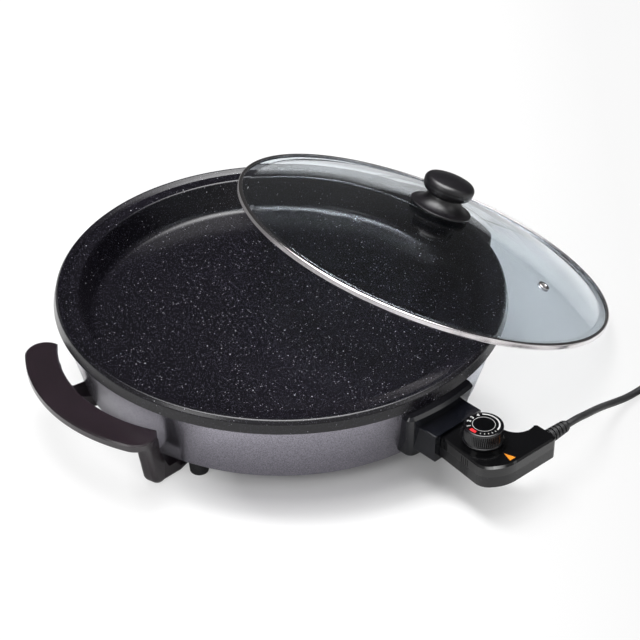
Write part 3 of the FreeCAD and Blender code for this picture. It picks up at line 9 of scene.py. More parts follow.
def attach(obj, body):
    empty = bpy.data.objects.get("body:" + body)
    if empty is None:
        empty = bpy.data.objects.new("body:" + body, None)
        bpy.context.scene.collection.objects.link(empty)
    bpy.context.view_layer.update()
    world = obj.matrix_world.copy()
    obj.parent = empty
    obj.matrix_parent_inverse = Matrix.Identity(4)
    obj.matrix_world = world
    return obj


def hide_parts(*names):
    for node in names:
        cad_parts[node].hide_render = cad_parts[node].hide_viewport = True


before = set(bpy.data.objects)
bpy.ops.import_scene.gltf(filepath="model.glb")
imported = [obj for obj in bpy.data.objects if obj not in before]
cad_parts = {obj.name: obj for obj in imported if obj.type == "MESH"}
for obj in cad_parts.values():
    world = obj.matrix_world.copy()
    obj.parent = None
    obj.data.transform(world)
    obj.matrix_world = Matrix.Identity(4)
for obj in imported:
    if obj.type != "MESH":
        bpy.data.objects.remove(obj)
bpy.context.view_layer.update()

# The camera: a long lens about two metres away, 35.7 degrees above the table, on the thermostat's side of the
# skillet. It stands so that the rim, the connector and the leaning lid fall where the photograph has them. Its lift
# and roll are in radians.
MM = 0.001
camera_lift = 0.6235
camera_heading = Vector((0.6997, 0.7145, 0.0)).normalized()
camera_target = Vector((26.2, -25.7, 47.0)) * MM
camera_distance = 2070.7 * MM
camera_roll = 0.014

sight = camera_heading * math.cos(camera_lift) - Vector((0, 0, math.sin(camera_lift)))
level_right = Vector((camera_heading.y, -camera_heading.x, 0.0))
level_up = level_right.cross(sight)
camera_right = level_right * math.cos(camera_roll) + level_up * math.sin(camera_roll)
camera_up = level_up * math.cos(camera_roll) - level_right * math.sin(camera_roll)

camera_data = bpy.data.cameras.new("studio_camera")
camera_data.lens = 124.34
camera_data.sensor_width = 36.0
camera = bpy.data.objects.new("studio_camera", camera_data)
bpy.context.scene.collection.objects.link(camera)
camera_turn = Matrix((camera_right, camera_up, -sight)).transposed()
camera.matrix_world = Matrix.Translation(camera_target - sight * camera_distance) @ camera_turn.to_4x4()
bpy.context.scene.camera = camera


# The mains cord: a round 6.8 mm lead in soft black PVC. It leaves the strain relief level, drops to the table
# and runs along it into a small tied coil that holds the length the photograph doesn't show.
def linear(colour):
    """An sRGB hex colour as linear light: a channel c becomes ((c + 0.055) / 1.055) ** 2.4, or c / 12.92 if dark."""
    channels = np.array([int(colour[i:i + 2], 16) for i in (1, 3, 5)]) / 255
    light = np.where(channels > 0.04045, ((channels + 0.055) / 1.055) ** 2.4, channels / 12.92)
    return (*light.tolist(), 1.0)


def blank(name):
    """A material named for its finish, with no nodes yet."""
    material = bpy.data.materials.new(name)
    material.use_nodes = True
    material.node_tree.nodes.clear()
    return material


def add(material, kind, inputs=None, **settings):
    """Add one node: settings are its properties, and each input takes a value or another node's socket."""
    node = material.node_tree.nodes.new("ShaderNode" + kind)
    for name, value in settings.items():
        setattr(node, name, value)
    for name, value in (inputs or {}).items():
        if isinstance(value, bpy.types.NodeSocket):
            material.node_tree.links.new(value, node.inputs[name])
        else:
            node.inputs[name].default_value = value
    return node


def moulded(name, dark, pale, roughness, mottle, grain, depth, specular=0.5):
    """A moulded plastic or rubber: its colour drifts from dark to pale over mottle mm, and a grain of that many mm
    and that depth in mm breaks up its gloss. Its highlights are those of plain plastic at specular 0.5."""
    material = blank(name)
    here = add(material, "TexCoord").outputs["Object"]
    cloud = add(material, "TexNoise", {"Vector": here, "Scale": 1000 / mottle, "Detail": 3.0}).outputs["Fac"]
    fine = add(material, "TexNoise", {"Vector": here, "Scale": 1000 / grain, "Detail": 2.0}).outputs["Fac"]
    colour = add(material, "Mix", {0: cloud, 6: linear(dark), 7: linear(pale)}, data_type="RGBA").outputs[2]
    gloss = add(material, "MapRange", {"Value": fine, "From Min": 0.3, "From Max": 0.7,
                                       "To Min": roughness * 0.85, "To Max": roughness * 1.15}).outputs[0]
    relief = add(material, "Bump", {"Height": fine, "Strength": 0.6, "Distance": depth * MM}).outputs[0]
    shader = add(material, "BsdfPrincipled", {"Base Color": colour, "Roughness": gloss, "Normal": relief,
                                              "Specular IOR Level": specular})
    add(material, "OutputMaterial", {"Surface": shader.outputs[0]})
    return material


def dress(material, *names):
    """Give CAD nodes, by name, their finish."""
    for name in names:
        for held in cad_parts[name].material_slots:
            held.material = material


# Soft PVC cord sheath: matt black, with the faint unevenness of extruded plastic.
cord_sheath = moulded("extruded_pvc_sheath", "#151516", "#1e1e20", 0.5, 14, 1.2, 0.05)

# The route runs out of the strain relief and down to the table, and from the coil up to the plug.
cord_radius = 3.4
relief_end = (78.0, -285.5, 44.0)
cord_route = [relief_end, (90.5, -285.5, 44.0), (107.0, -283.4, 39.0), (127.0, -278.0, 30.5), (147.0, -272.5, 21.0),
              (168.0, -269.3, 12.5), (189.0, -267.8, 6.3), (209.0, -267.0, 4.2), (229.0, -267.0, 4.2)]
tail_route = [(259.6, -267.0, 11.55), (278.6, -266.0, 18.6), (295.6, -266.0, 18.6)]
coil_middle = (235.8, -311.0)
coil_reach = 44.0
coil_pitch = 7.35
coil_floor = 4.2
points_per_turn = 16


def coil_points(turns=4):
    """The coil's centre line: two turns wound inwards on the table and two wound outwards on top of them, each
    a pitch nearer to the middle than the last. At turn t the reach is coil_reach less pitch times the nearer of
    t and 4 - t, the angle is 90 degrees less t turns, and half a turn about the middle climbs one pitch."""
    turn = np.linspace(0, turns, turns * points_per_turn + 1)
    inward = np.minimum(turn, turns - turn)
    reach = coil_reach - coil_pitch * inward
    angle = np.pi / 2 - 2 * np.pi * turn
    height = coil_floor + np.clip((turn - 1.75) / 0.5, 0, 1) * coil_pitch
    places = [coil_middle[0] + reach * np.cos(angle), coil_middle[1] + reach * np.sin(angle), height]
    return np.stack(places, axis=-1)


cord_line = np.concatenate([cord_route, coil_points(), tail_route]) * MM
cord_data = bpy.data.curves.new("mains_cord", "CURVE")
cord_data.dimensions = "3D"
cord_spline = cord_data.splines.new("NURBS")
cord_spline.points.add(len(cord_line) - 1)
cord_spline.points.foreach_set("co", np.c_[cord_line, np.ones(len(cord_line))].ravel())
cord_spline.order_u = 3
cord_spline.use_endpoint_u = True
cord_data.resolution_u = 8
cord_data.bevel_depth = cord_radius * MM
cord_data.bevel_resolution = 7
cord_data.use_fill_caps = True
cord_data.materials.append(cord_sheath)
mains_cord = bpy.data.objects.new("mains_cord", cord_data)
bpy.context.scene.collection.objects.link(mains_cord)
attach(mains_cord, "probe")
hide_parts("power_cord", "cord_coil", "cord_tail")

# The pan: one aluminium casting with a flat floor, a steep wall, a ledge for the lid and a deep rim band. Inside and
# out it wears a sprayed non-stick coating with mineral chips in it.

# PTFE sprayed in two coats over aluminium and baked: nearly black and satin, pebbled like any sprayed coat. Pale
# chips under a millimetre across lie in a haze of grey ones, all drawn up to twice their real size to show at all.
# Fewer chips are chosen further from the front half of the floor and more near it. This is a painted sheen, standing
# in for light, where the photograph's light brings out most.
painted_sheen_middle = (0.01, -0.05, 0.057)
coating = blank("speckled_ptfe_coating")
coating_here = add(coating, "TexCoord").outputs["Object"]
coating_cloud = add(coating, "TexNoise", {"Vector": coating_here, "Scale": 1000 / 60, "Detail": 3.0}).outputs["Fac"]
coating_colour = add(coating, "Mix", {0: coating_cloud, 6: linear("#050408"), 7: linear("#0d0b12")},
                     data_type="RGBA").outputs[2]
# Painted sheen: the pale chips thin out with distance from this point on the floor, so the floor is paler near it as
# if lit.
from_sheen_middle = add(coating, "VectorMath", {0: coating_here, 1: painted_sheen_middle}, operation="DISTANCE").outputs["Value"]
sheen_falloff = add(coating, "MapRange", {"Value": from_sheen_middle, "From Min": 0.05, "From Max": 0.2, "To Min": 0.0,
                                    "To Max": 0.13}).outputs[0]
for spacing, radius, rarest, chip_colour in ((1.1, 0.34, 0.5, "#403e48"), (2.2, 0.37, 0.72, "#aeacb6"),
                                             (6.0, 0.46, 0.72, "#e4e4ea")):
    chips = add(coating, "TexVoronoi", {"Vector": coating_here, "Scale": 1000 / spacing})
    inside_chip = add(coating, "MapRange", {"Value": chips.outputs["Distance"], "From Min": radius * 0.6 / spacing,
                                            "From Max": radius * 1.3 / spacing, "To Min": 1.0, "To Max": 0.0})
    rank = add(coating, "Math", {0: chips.outputs["Color"], 1: sheen_falloff}, operation="SUBTRACT").outputs[0]
    chosen = add(coating, "MapRange", {"Value": rank, "From Min": rarest - 0.1, "From Max": rarest})
    chip = add(coating, "Math", {0: inside_chip.outputs[0], 1: chosen.outputs[0]}, operation="MULTIPLY")
    coating_colour = add(coating, "Mix", {0: chip.outputs[0], 6: coating_colour, 7: linear(chip_colour)},
                         data_type="RGBA").outputs[2]
pebble = add(coating, "TexNoise", {"Vector": coating_here, "Scale": 1000 / 1.6, "Detail": 2.0}).outputs["Fac"]
coating_gloss = add(coating, "MapRange", {"Value": pebble, "To Min": 0.19, "To Max": 0.27}).outputs[0]
coating_relief = add(coating, "Bump", {"Height": pebble, "Strength": 0.5, "Distance": 0.03 * MM}).outputs[0]
coating_shader = add(coating, "BsdfPrincipled", {"Base Color": coating_colour, "Roughness": coating_gloss,
                                                 "Normal": coating_relief, "Specular IOR Level": 0.4})
add(coating, "OutputMaterial", {"Surface": coating_shader.outputs[0]})
dress(coating, "pan")

# The outer shell: a tapered skirt pressed from steel sheet, with a flange turned in under the pan. It hangs from the
# casting's rim and shows the legs and the table as a dull mirror.

# Silver-grey metallic enamel baked on steel: the fine flake in it scatters the light, so a mirror image stays
# but its edges go soft. The flake is drawn near a millimetre across to show at all.
enamel = blank("silver_flake_enamel")
enamel_here = add(enamel, "TexCoord").outputs["Object"]
flake = add(enamel, "TexNoise", {"Vector": enamel_here, "Scale": 1000 / 1.1, "Detail": 2.0}).outputs["Fac"]
orange_peel = add(enamel, "TexNoise", {"Vector": enamel_here, "Scale": 1000 / 7, "Detail": 1.0}).outputs["Fac"]
flake_share = add(enamel, "MapRange", {"Value": flake, "From Min": 0.3, "From Max": 0.7}).outputs[0]
enamel_colour = add(enamel, "Mix", {0: flake_share, 6: linear("#706d77"), 7: linear("#a8a5af")},
                    data_type="RGBA").outputs[2]
peel = add(enamel, "Bump", {"Height": orange_peel, "Strength": 0.5, "Distance": 0.03 * MM}).outputs[0]
flaked = add(enamel, "Bump", {"Height": flake, "Strength": 0.5, "Distance": 0.02 * MM, "Normal": peel}).outputs[0]
enamel_shader = add(enamel, "BsdfPrincipled", {"Base Color": enamel_colour, "Metallic": 0.92, "Roughness": 0.22,
                                               "Normal": flaked, "Coat Weight": 0.3, "Coat Roughness": 0.12})
add(enamel, "OutputMaterial", {"Surface": enamel_shader.outputs[0]})
dress(enamel, "outer_shell")


# The bottom plate: a flat disc of zinc-plated steel with a ring of vents. Three screws through it reach the pan's
# cast bosses, and its edge lies on the shell's flange.
def metal(name, dark, pale, roughness, patch, grain, depth):
    """A bare or plated metal: its tint drifts from dark to pale over patch mm, and marks of that grain and depth in
    mm break up its shine."""
    material = blank(name)
    here = add(material, "TexCoord").outputs["Object"]
    cloud = add(material, "TexNoise", {"Vector": here, "Scale": 1000 / patch, "Detail": 3.0}).outputs["Fac"]
    fine = add(material, "TexNoise", {"Vector": here, "Scale": 1000 / grain, "Detail": 2.0}).outputs["Fac"]
    colour = add(material, "Mix", {0: cloud, 6: linear(dark), 7: linear(pale)}, data_type="RGBA").outputs[2]
    shine = add(material, "MapRange", {"Value": fine, "From Min": 0.3, "From Max": 0.7,
                                       "To Min": roughness * 0.8, "To Max": roughness * 1.2}).outputs[0]
    relief = add(material, "Bump", {"Height": fine, "Strength": 0.5, "Distance": depth * MM}).outputs[0]
    shader = add(material, "BsdfPrincipled", {"Base Color": colour, "Metallic": 1.0, "Roughness": shine,
                                              "Normal": relief})
    add(material, "OutputMaterial", {"Surface": shader.outputs[0]})
    return material


# Hot-dip zinc on sheet steel: crystals a centimetre across, each a slightly other grey.
spangle = blank("spangled_zinc_sheet")
spangle_here = add(spangle, "TexCoord").outputs["Object"]
crystal = add(spangle, "TexVoronoi", {"Vector": spangle_here, "Scale": 1000 / 11}).outputs["Color"]
crystal_grey = add(spangle, "Mix", {0: crystal, 6: linear("#8f9193"), 7: linear("#b4b5b6")},
                   data_type="RGBA").outputs[2]
crystal_shine = add(spangle, "MapRange", {"Value": crystal, "To Min": 0.3, "To Max": 0.5}).outputs[0]
spangle_shader = add(spangle, "BsdfPrincipled", {"Base Color": crystal_grey, "Metallic": 1.0,
                                                 "Roughness": crystal_shine})
add(spangle, "OutputMaterial", {"Surface": spangle_shader.outputs[0]})
dress(spangle, "bottom_plate", "element_clamps", "thermostat_frame")

# Bright zinc on small turned and pressed parts: pale, slightly blue, with a soft shine.
bright_zinc = metal("bright_zinc_plate", "#a9acb0", "#c3c5c8", 0.3, 6, 1.0, 0.01)


def rounded(corners, closed=False, hold=0.3, steps=5):
    """Round a chain of (across, up, radius) corners. Each becomes an arc that touches both of its sides, found by
    turning evenly from the first touching point to the second about the arc's centre, which lies on the corner's
    bisector at radius over the sine of half its angle. A point that many mm beyond each end keeps the flats flat."""
    chain = np.array(corners, float)
    if closed:
        chain = np.concatenate([chain[-1:], chain, chain[:1]])
    place, radius = chain[:, :2], chain[1:-1, 2:]
    back, ahead = place[:-2] - place[1:-1], place[2:] - place[1:-1]
    back, ahead = (side / np.linalg.norm(side, axis=1, keepdims=True) for side in (back, ahead))
    half = np.arccos(np.clip((back * ahead).sum(1, keepdims=True), -1, 1)) / 2
    sweep = np.pi - 2 * half
    centre = place[1:-1] + (back + ahead) * radius / np.sin(2 * half)
    start, end = (place[1:-1] + side * radius / np.tan(half) for side in (back, ahead))
    share = np.linspace(0, 1, steps + 1)[:, None, None]
    arc = (start - centre) * np.sin((1 - share) * sweep) + (end - centre) * np.sin(share * sweep)
    arc = np.concatenate([(start + back * hold)[None], centre + arc / np.sin(sweep), (end + ahead * hold)[None]])
    line = arc.transpose(1, 0, 2).reshape(-1, 2)
    return line if closed else np.concatenate([place[:1], line, place[-1:]])


def turned(profile, turns=96):
    """A profile of (radius, height) points turned about the upright axis: at angle a a point lies at radius times
    the cosine and the sine of a, and at its own height."""
    angle = np.linspace(0, 2 * np.pi, turns, endpoint=False)
    radius, height = np.array(profile).T
    flat = [np.outer(np.cos(angle), radius), np.outer(np.sin(angle), radius)]
    return np.stack([*flat, np.tile(height, (turns, 1))], axis=-1)


def piece(name, surfaces, material, body, record_slot, *stands_for):
    """Make one mesh of grid surfaces in mm, each with whether its columns and its rows run round in a loop. Points
    that meet are merged, the faces are turned outward, and edges sharper than 35 degrees stay sharp."""
    points, quads, count = [], [], 0
    for grid, looped in surfaces:
        number = np.arange(grid.shape[0] * grid.shape[1]).reshape(grid.shape[:2]) + count
        for axis in (0, 1):
            if looped[axis]:
                number = np.concatenate([number, number.take([0], axis)], axis)
        corners = [number[:-1, :-1], number[1:, :-1], number[1:, 1:], number[:-1, 1:]]
        quads.append(np.stack(corners, axis=-1).reshape(-1, 4))
        points.append(grid.reshape(-1, 3) * MM)
        count += len(points[-1])
    mesh = bpy.data.meshes.new(name)
    mesh.from_pydata(np.concatenate(points), [], np.concatenate(quads))
    shaped = bmesh.new()
    shaped.from_mesh(mesh)
    bmesh.ops.remove_doubles(shaped, verts=shaped.verts, dist=0.002 * MM)
    bmesh.ops.recalc_face_normals(shaped, faces=shaped.faces)
    shaped.to_mesh(mesh)
    shaped.free()
    mesh.materials.append(material)
    mesh.shade_smooth()
    mesh.set_sharp_from_angle(angle=math.radians(35))
    thing = bpy.data.objects.new(name, mesh)
    bpy.context.scene.collection.objects.link(thing)
    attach(thing, body)
    if stands_for:
        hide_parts(*stands_for)
    return thing


def bowed(start, middle, end, steps=14):
    """Points along the circle through three points: about its centre, the first point's arm turns evenly by the
    angle from the first to the second point plus the angle from the second to the third."""
    first, second, third = (complex(*place) for place in (start, middle, end))
    skew = (third - first) / (second - first)
    centre = first + (second - first) * (skew - abs(skew) ** 2) / (2j * skew.imag)
    sweep = np.angle((second - centre) / (first - centre)) + np.angle((third - centre) / (second - centre))
    line = centre + (first - centre) * np.exp(1j * sweep * np.linspace(0, 1, steps + 1))
    return np.stack([line.real, line.imag], axis=-1)


# Which of a grid's two directions, its columns and its rows, run round in a loop.
LATHE = (True, False)
HOOP = (True, True)
SHEET = (False, False)
SLEEVE = (False, True)


def cross_screws(places, radius, low, high, shank, top):
    """Pan-head screws pointing up, sized by the head's radius and its two heights, the shank's radius and its top.
    The head's face is a square grid pressed into a disc: (u, v) goes to u times root (1 - v v / 2) and v times
    root (1 - u u / 2). Its height rises by a fifth of the radius times the distance squared, and by two fifths
    more inside a cross, where u is in the slot's width and v in its length or the other way round."""
    line = np.array([-1.0, -0.86, -0.62, -0.56, -0.22, -0.15, 0.0, 0.15, 0.22, 0.56, 0.62, 0.86, 1.0])
    u, v = np.meshgrid(line, line, indexing="ij")
    across, along = u * np.sqrt(1 - v * v / 2), v * np.sqrt(1 - u * u / 2)
    cross = ((abs(u) < 0.2) & (abs(v) < 0.6)) | ((abs(v) < 0.2) & (abs(u) < 0.6))
    dome = low + 0.2 * radius * (across ** 2 + along ** 2) + 0.4 * radius * cross
    face = np.stack([radius * across, radius * along, dome], axis=-1)
    back = np.stack([radius * across, radius * along, np.full_like(u, high)], axis=-1)
    wall = np.stack([np.concatenate([disc[0, :-1], disc[:-1, -1], disc[-1, :0:-1], disc[:0:-1, 0]])
                     for disc in (face, back)], axis=1)
    stem = turned([(0, high - 0.2), (shank, high - 0.2), (shank, top - 0.5), (shank - 0.5, top), (0, top)], 24)
    shapes = ((face, SHEET), (back, SHEET), (wall, LATHE), (stem, LATHE))
    return [(grid + (x, y, 0.0), looped) for x, y in places for grid, looped in shapes]


def on_circle(radius, *angles):
    """Places at those angles, in degrees, on a circle about the pan's axis."""
    return [(radius * math.cos(math.radians(a)), radius * math.sin(math.radians(a))) for a in angles]


piece("base_plate_screws", cross_screws(on_circle(80.0, 90, 210, 330), 4.2, 12.6, 15.2, 2.0, 29.2), bright_zinc,
      "skillet", "zinc_screw", "base_screws")

# The heating element: a steel tube packed with magnesia, bent to a ring under the pan and held by sheet clamps.
# Its two terminals pass through a ceramic block, with the guide tube for the sensor rod between them.

# Steel tube that has been red hot: brown and straw oxide colours over a dull grey.
heated_tube = metal("oxidised_steel_tube", "#5b4c42", "#8c8178", 0.45, 18, 1.2, 0.03)
dress(heated_tube, "heating_element")

# Plain drawn steel: an even, dull grey with a faint grain.
drawn_steel = metal("drawn_steel_tube", "#8b8a88", "#a09f9d", 0.35, 12, 1.0, 0.02)
dress(drawn_steel, "sensor_guide_tube", "sensor_rod", "dial_spindle", "guard_screws", "knob_screw")

# Steatite fired with a thin glaze: off-white with faint specks, glossy over a slightly wavy body.
steatite = moulded("glazed_steatite", "#cfc6b2", "#ddd6c6", 0.25, 9, 1.2, 0.03)
dress(steatite, "terminal_block", "stack_insulators")

# Nickel over brass: warm grey and bright, with a fine grain from drawing.
nickelled_brass = metal("nickel_plated_brass", "#b9b09a", "#c9c2b0", 0.22, 8, 0.8, 0.01)
dress(nickelled_brass, "terminal_pins", "socket_contacts", "contact_blades", "plug_pins", "plug_earth_strips")

# The connector guard: a moulded box on the shell's front that shrouds the pins. A tapered collar follows the skirt
# and a socket box stands out of it for the thermostat's nose. Two screws hold it from inside.

# Phenolic resin filled with carbon black and pressed in a polished steel mould: deep black with a cool, even gloss.
guard_phenolic = moulded("pressed_black_phenolic", "#07080d", "#0e1017", 0.18, 40, 5.0, 0.01, 0.45)
dress(guard_phenolic, "connector_guard")

# The side handles: each a curved grip bar on two legs, pressed in one piece. The legs run down the skirt to the
# table, where an arm turns in under the flange and takes a screw with a nut above it.

# Wood-flour phenolic, the heat-proof kind used for pan handles: brown under the black, satin from wear.
handle_phenolic = moulded("wood_filled_phenolic", "#150f13", "#231a20", 0.22, 26, 1.5, 0.02, 0.6)
dress(handle_phenolic, "left_handle", "right_handle")
dress(bright_zinc, "handle_nuts", "foot_nuts")
piece("handle_leg_screws", cross_screws(on_circle(173.0, -11.8, 26.7, 156.6, 195.1), 4.6, 0.9, 3.9, 2.5, 20.0),
      bright_zinc, "skillet", "zinc_screw", "handle_screws")

# The round feet: four hollow rubber cones under the flange, one beside each leg. Each is held by its own screw from
# below, with a nut above the flange.

# Carbon-black rubber from a blasted mould: matt, with dust grey on its highlights.
foot_rubber = moulded("moulded_black_rubber", "#141415", "#202022", 0.7, 12, 1.2, 0.05, 0.35)
foot_angles = (-19.8, 34.7, 148.6, 203.1)
foot_places = on_circle(179.0, *foot_angles)
foot_grid = turned(rounded([(2.3, 14.0, 0.1), (2.3, 4.0, 0.2), (4.4, 4.0, 0.4), (4.4, 0.0, 0.6), (8.3, 0.0, 1.4),
                            (9.8, 14.0, 0.5)], closed=True), 48)
piece("rubber_feet", [(foot_grid + (x, y, 0.0), HOOP) for x, y in foot_places], foot_rubber, "skillet",
      "black_rubber", "round_feet")
piece("foot_fixing_screws", cross_screws(foot_places, 4.0, 1.6, 3.8, 2.1, 19.8), bright_zinc, "skillet",
      "zinc_screw", "foot_screws")

# The lid's glass: a dome of pressed and tempered soda-lime glass, 4 mm thick. It is loose and stands at a slant,
# with its low edge on the table and its dome over the pan's rim.

# Clear tempered glass, fire polished: a little blue-grey in its mass, and very slightly wavy where it was quenched.
glass = blank("tempered_soda_lime_glass")
glass_here = add(glass, "TexCoord").outputs["Object"]
quench = add(glass, "TexNoise", {"Vector": glass_here, "Scale": 1000 / 45, "Detail": 1.0}).outputs["Fac"]
glass_wave = add(glass, "Bump", {"Height": quench, "Strength": 0.4, "Distance": 0.06 * MM}).outputs[0]
glass_tint = add(glass, "Mix", {0: quench, 6: linear("#e1e7ec"), 7: linear("#e5ebef")}, data_type="RGBA").outputs[2]
glass_shader = add(glass, "BsdfPrincipled", {"Base Color": glass_tint, "Roughness": 0.0, "IOR": 1.5,
                                             "Normal": glass_wave, "Transmission Weight": 1.0,
                                             "Specular IOR Level": 0.2})
add(glass, "OutputMaterial", {"Surface": glass_shader.outputs[0]})
dress(glass, "lid_glass", "neon_lamp")

# The lid's band: stainless strip rolled round the glass edge into a channel, with soft bends and no sharp edge. The
# lid's middle, lean and bearing are those of the circle on the band's underside.
lid_middle = np.array((154.938, -34.917, 72.294))
lid_lean = math.radians(22.41)
lid_bearing = math.radians(-12.7)
lid_up = np.array((math.sin(lid_lean) * math.cos(lid_bearing), math.sin(lid_lean) * math.sin(lid_bearing),
                   math.cos(lid_lean)))
lid_down_slope = np.array((math.cos(lid_lean) * math.cos(lid_bearing), math.cos(lid_lean) * math.sin(lid_bearing),
                           -math.sin(lid_lean)))
lid_axes = np.array([lid_down_slope, np.cross(lid_up, lid_down_slope), lid_up])

# Bright rolled stainless, buffed: a near mirror, with a trace of haze and fingermarks.
buffed_steel = metal("buffed_stainless_strip", "#c4c0c1", "#d8d4d5", 0.16, 30, 3.0, 0.01)
band_profile = rounded([(186.0, 0.0, 0.28), (189.6, 0.0, 1.5), (189.6, 6.0, 1.5), (186.0, 6.0, 0.28),
                        (186.0, 5.4, 0.28), (189.0, 5.4, 0.9), (189.0, 0.6, 0.9), (186.0, 0.6, 0.28)],
                       closed=True, hold=0.02)
piece("rolled_lid_band", [(lid_middle + turned(band_profile, 360) @ lid_axes, HOOP)], buffed_steel, "lid",
      "polished_steel", "lid_band")

# The steam vent: a stainless eyelet through a bore in the glass, rolled over on both faces. It stands square to the
# dome, whose underside is part of a large sphere with its middle far below the lid.
vent_place = 122.0
vent_angle = math.radians(-60.5)
dome_radius = 487.36
dome_depth = 452.16
vent_slope = math.asin(vent_place / dome_radius)
vent_height = math.sqrt(dome_radius ** 2 - vent_place ** 2) - dome_depth
eyelet = turned(rounded([(2.6, -0.9, 1.0), (5.8, -0.9, 0.38), (5.8, -0.1, 0.38), (3.9, -0.1, 0.1), (3.9, 4.1, 0.1),
                         (5.8, 4.1, 0.38), (5.8, 4.9, 0.38), (2.6, 4.9, 1.0)], closed=True, hold=0.01), 48)
eyelet_turn = (Matrix.Rotation(vent_angle, 3, "Z") @ Matrix.Rotation(vent_slope, 3, "Y")).transposed()
vent_middle = np.array((vent_place * math.cos(vent_angle), vent_place * math.sin(vent_angle), vent_height))
piece("steam_eyelet", [(lid_middle + (vent_middle + eyelet @ np.array(eyelet_turn)) @ lid_axes, HOOP)],
      buffed_steel, "lid", "polished_steel", "vent_grommet")

# The lid's knob: a wide mushroom cap on a bell-shaped base, both phenolic, on a silicone washer. One screw from
# inside the lid, over a steel washer, pulls the stack together.

# Phenolic buffed after moulding: black, with a satin sheen that spreads the lamps' light softly.
knob_phenolic = moulded("buffed_black_phenolic", "#09080b", "#121014", 0.36, 30, 3.0, 0.01)
base_profile = np.concatenate([
    rounded([(2.6, 44.95, 0), (30.3, 44.95, 1.1), (30.3, 47.35, 0.5), (28.6, 47.85, 0)]),
    bowed((27.6, 47.9), (20.9, 51.4), (17.2, 57.6)),
    rounded([(17.0, 58.0, 0), (17.0, 58.95, 0.3), (2.6, 58.95, 0)], hold=0.1), [(2.6, 44.95)]])
piece("bell_knob_base", [(lid_middle + turned(base_profile, 128) @ lid_axes, LATHE)], knob_phenolic, "lid",
      "black_bakelite", "knob_base")
cap_profile = np.concatenate([
    [(0.0, 67.95), (2.6, 67.95), (2.6, 58.95)], rounded([(3.0, 58.95, 0), (18.0, 58.95, 0.4), (18.6, 59.5, 0)]),
    bowed((18.9, 59.7), (23.2, 62.8), (24.8, 67.3)), bowed((24.7, 67.95), (24.6, 71.9), (22.8, 74.4)),
    bowed((22.4, 74.7), (11.6, 77.5), (0.0, 78.45))])
piece("mushroom_knob_cap", [(lid_middle + turned(cap_profile, 128) @ lid_axes, LATHE)], knob_phenolic, "lid",
      "black_bakelite", "lid_knob")

# Moulded silicone: grey, matt and a little translucent.
seal_silicone = moulded("moulded_grey_silicone", "#4b4b4c", "#5c5c5d", 0.6, 9, 1.0, 0.02, 0.4)
dress(seal_silicone, "knob_seal")
dress(buffed_steel, "knob_washer")

# The thermostat: a plug-in control whose two moulded half shells hold the sensor rod, the contact sleeves, a steel
# frame and the switch blades. Three screws from below close them, and an orange lens shows the neon lamp.

# Phenolic from a polished mould: jet black and very glossy, with the faint ripple of a thin moulded wall.
shell_phenolic = moulded("polished_black_phenolic", "#060607", "#0e0e10", 0.1, 24, 4.0, 0.01, 0.45)
dress(shell_phenolic, "thermostat_upper_housing", "cord_clamp")

# The lower half sees less wear and polish: the same resin, satin.
lower_phenolic = moulded("satin_black_phenolic", "#0a0a0c", "#131315", 0.32, 24, 3.0, 0.01, 0.35)
dress(lower_phenolic, "thermostat_lower_housing")

# Clear orange polycarbonate, with the neon lamp's glow painted into its colour as a brighter orange, and a wet shine.
lens_plastic = moulded("clear_orange_polycarbonate", "#e8801c", "#f6a23a", 0.12, 4, 1.0, 0.01)
dress(lens_plastic, "indicator_lens")
piece("housing_screw_set", cross_screws([(-21.0, -268.0), (22.0, -292.0), (14.0, -243.0)], 2.6, 33.1, 35.0, 1.4,
                                        49.0), bright_zinc, "probe", "zinc_screw", "housing_screws")

# The dial: a knurled knob on a threaded spindle, with a printed plate let into its top. It turns the thermostat's
# switch point from off, at the red mark, through four numbered settings.
dial_middle = np.array((-3.0, -259.0, 0.0))
dial_radius = 17.5
knurl_count = 60
knurl_depth = 0.5
knurl_low = 60.5
knurl_high = 71.4
knurl_ramp = 0.8
dial_profile = np.concatenate([
    rounded([(0.0, 57.9, 0), (18.3, 57.9, 0.4), (18.3, 59.2, 0.4), (dial_radius, 59.9, 0.3),
             (dial_radius, 60.45, 0)]),
    [(dial_radius, height) for height in (knurl_low, 60.9, 61.3, 66.0, 70.6, 71.0, knurl_high)],
    rounded([(dial_radius, 71.6, 0), (dial_radius, 73.6, 1.3), (15.7, 73.6, 0.25), (15.7, 73.1, 0.1),
             (0.0, 73.1, 0)], hold=0.1)])
dial_grid = turned(dial_profile, knurl_count * 8)


def knurled(grid):
    """Press flutes into a turned grid: inside the knurl's height, ramped at its two ends, each point's radius loses
    the knurl's depth times the fourth power of the cosine of half the flute count times its angle."""
    angle = np.arctan2(grid[..., 1], grid[..., 0])
    ramp = np.clip(np.minimum(grid[..., 2] - knurl_low, knurl_high - grid[..., 2]) / knurl_ramp, 0, 1)
    outside = np.hypot(grid[..., 0], grid[..., 1]) > dial_radius - 0.1
    loss = knurl_depth * ramp * outside * np.cos(knurl_count * angle / 2) ** 4
    return grid * np.stack([1 - loss / dial_radius, 1 - loss / dial_radius, np.ones_like(loss)], axis=-1)


# Phenolic from a fluted mould: black, with a gloss that lights the flutes' edges.
dial_phenolic = moulded("knurled_black_phenolic", "#060608", "#0e0d11", 0.2, 20, 2.0, 0.01)
piece("knurled_dial", [(dial_middle + knurled(dial_grid), LATHE)], dial_phenolic, "dial", "black_bakelite",
      "dial_knob")

# Anodised aluminium disc, dyed black and clear lacquered, under the screen-printed scale.
dial_disc = metal("black_anodised_disc", "#0c0c0e", "#141417", 0.35, 12, 1.0, 0.01)
dress(dial_disc, "dial_plate")

# Screen-printing ink: opaque and satin, with the slight unevenness of a hand-pulled screen.
white_ink = moulded("white_screen_ink", "#bcbcbc", "#cecece", 0.5, 5, 1.0, 0.005)
red_ink = moulded("red_screen_ink", "#cc1f26", "#dc2c32", 0.5, 5, 1.0, 0.005)
ink_low = 73.56
ink_high = 73.66


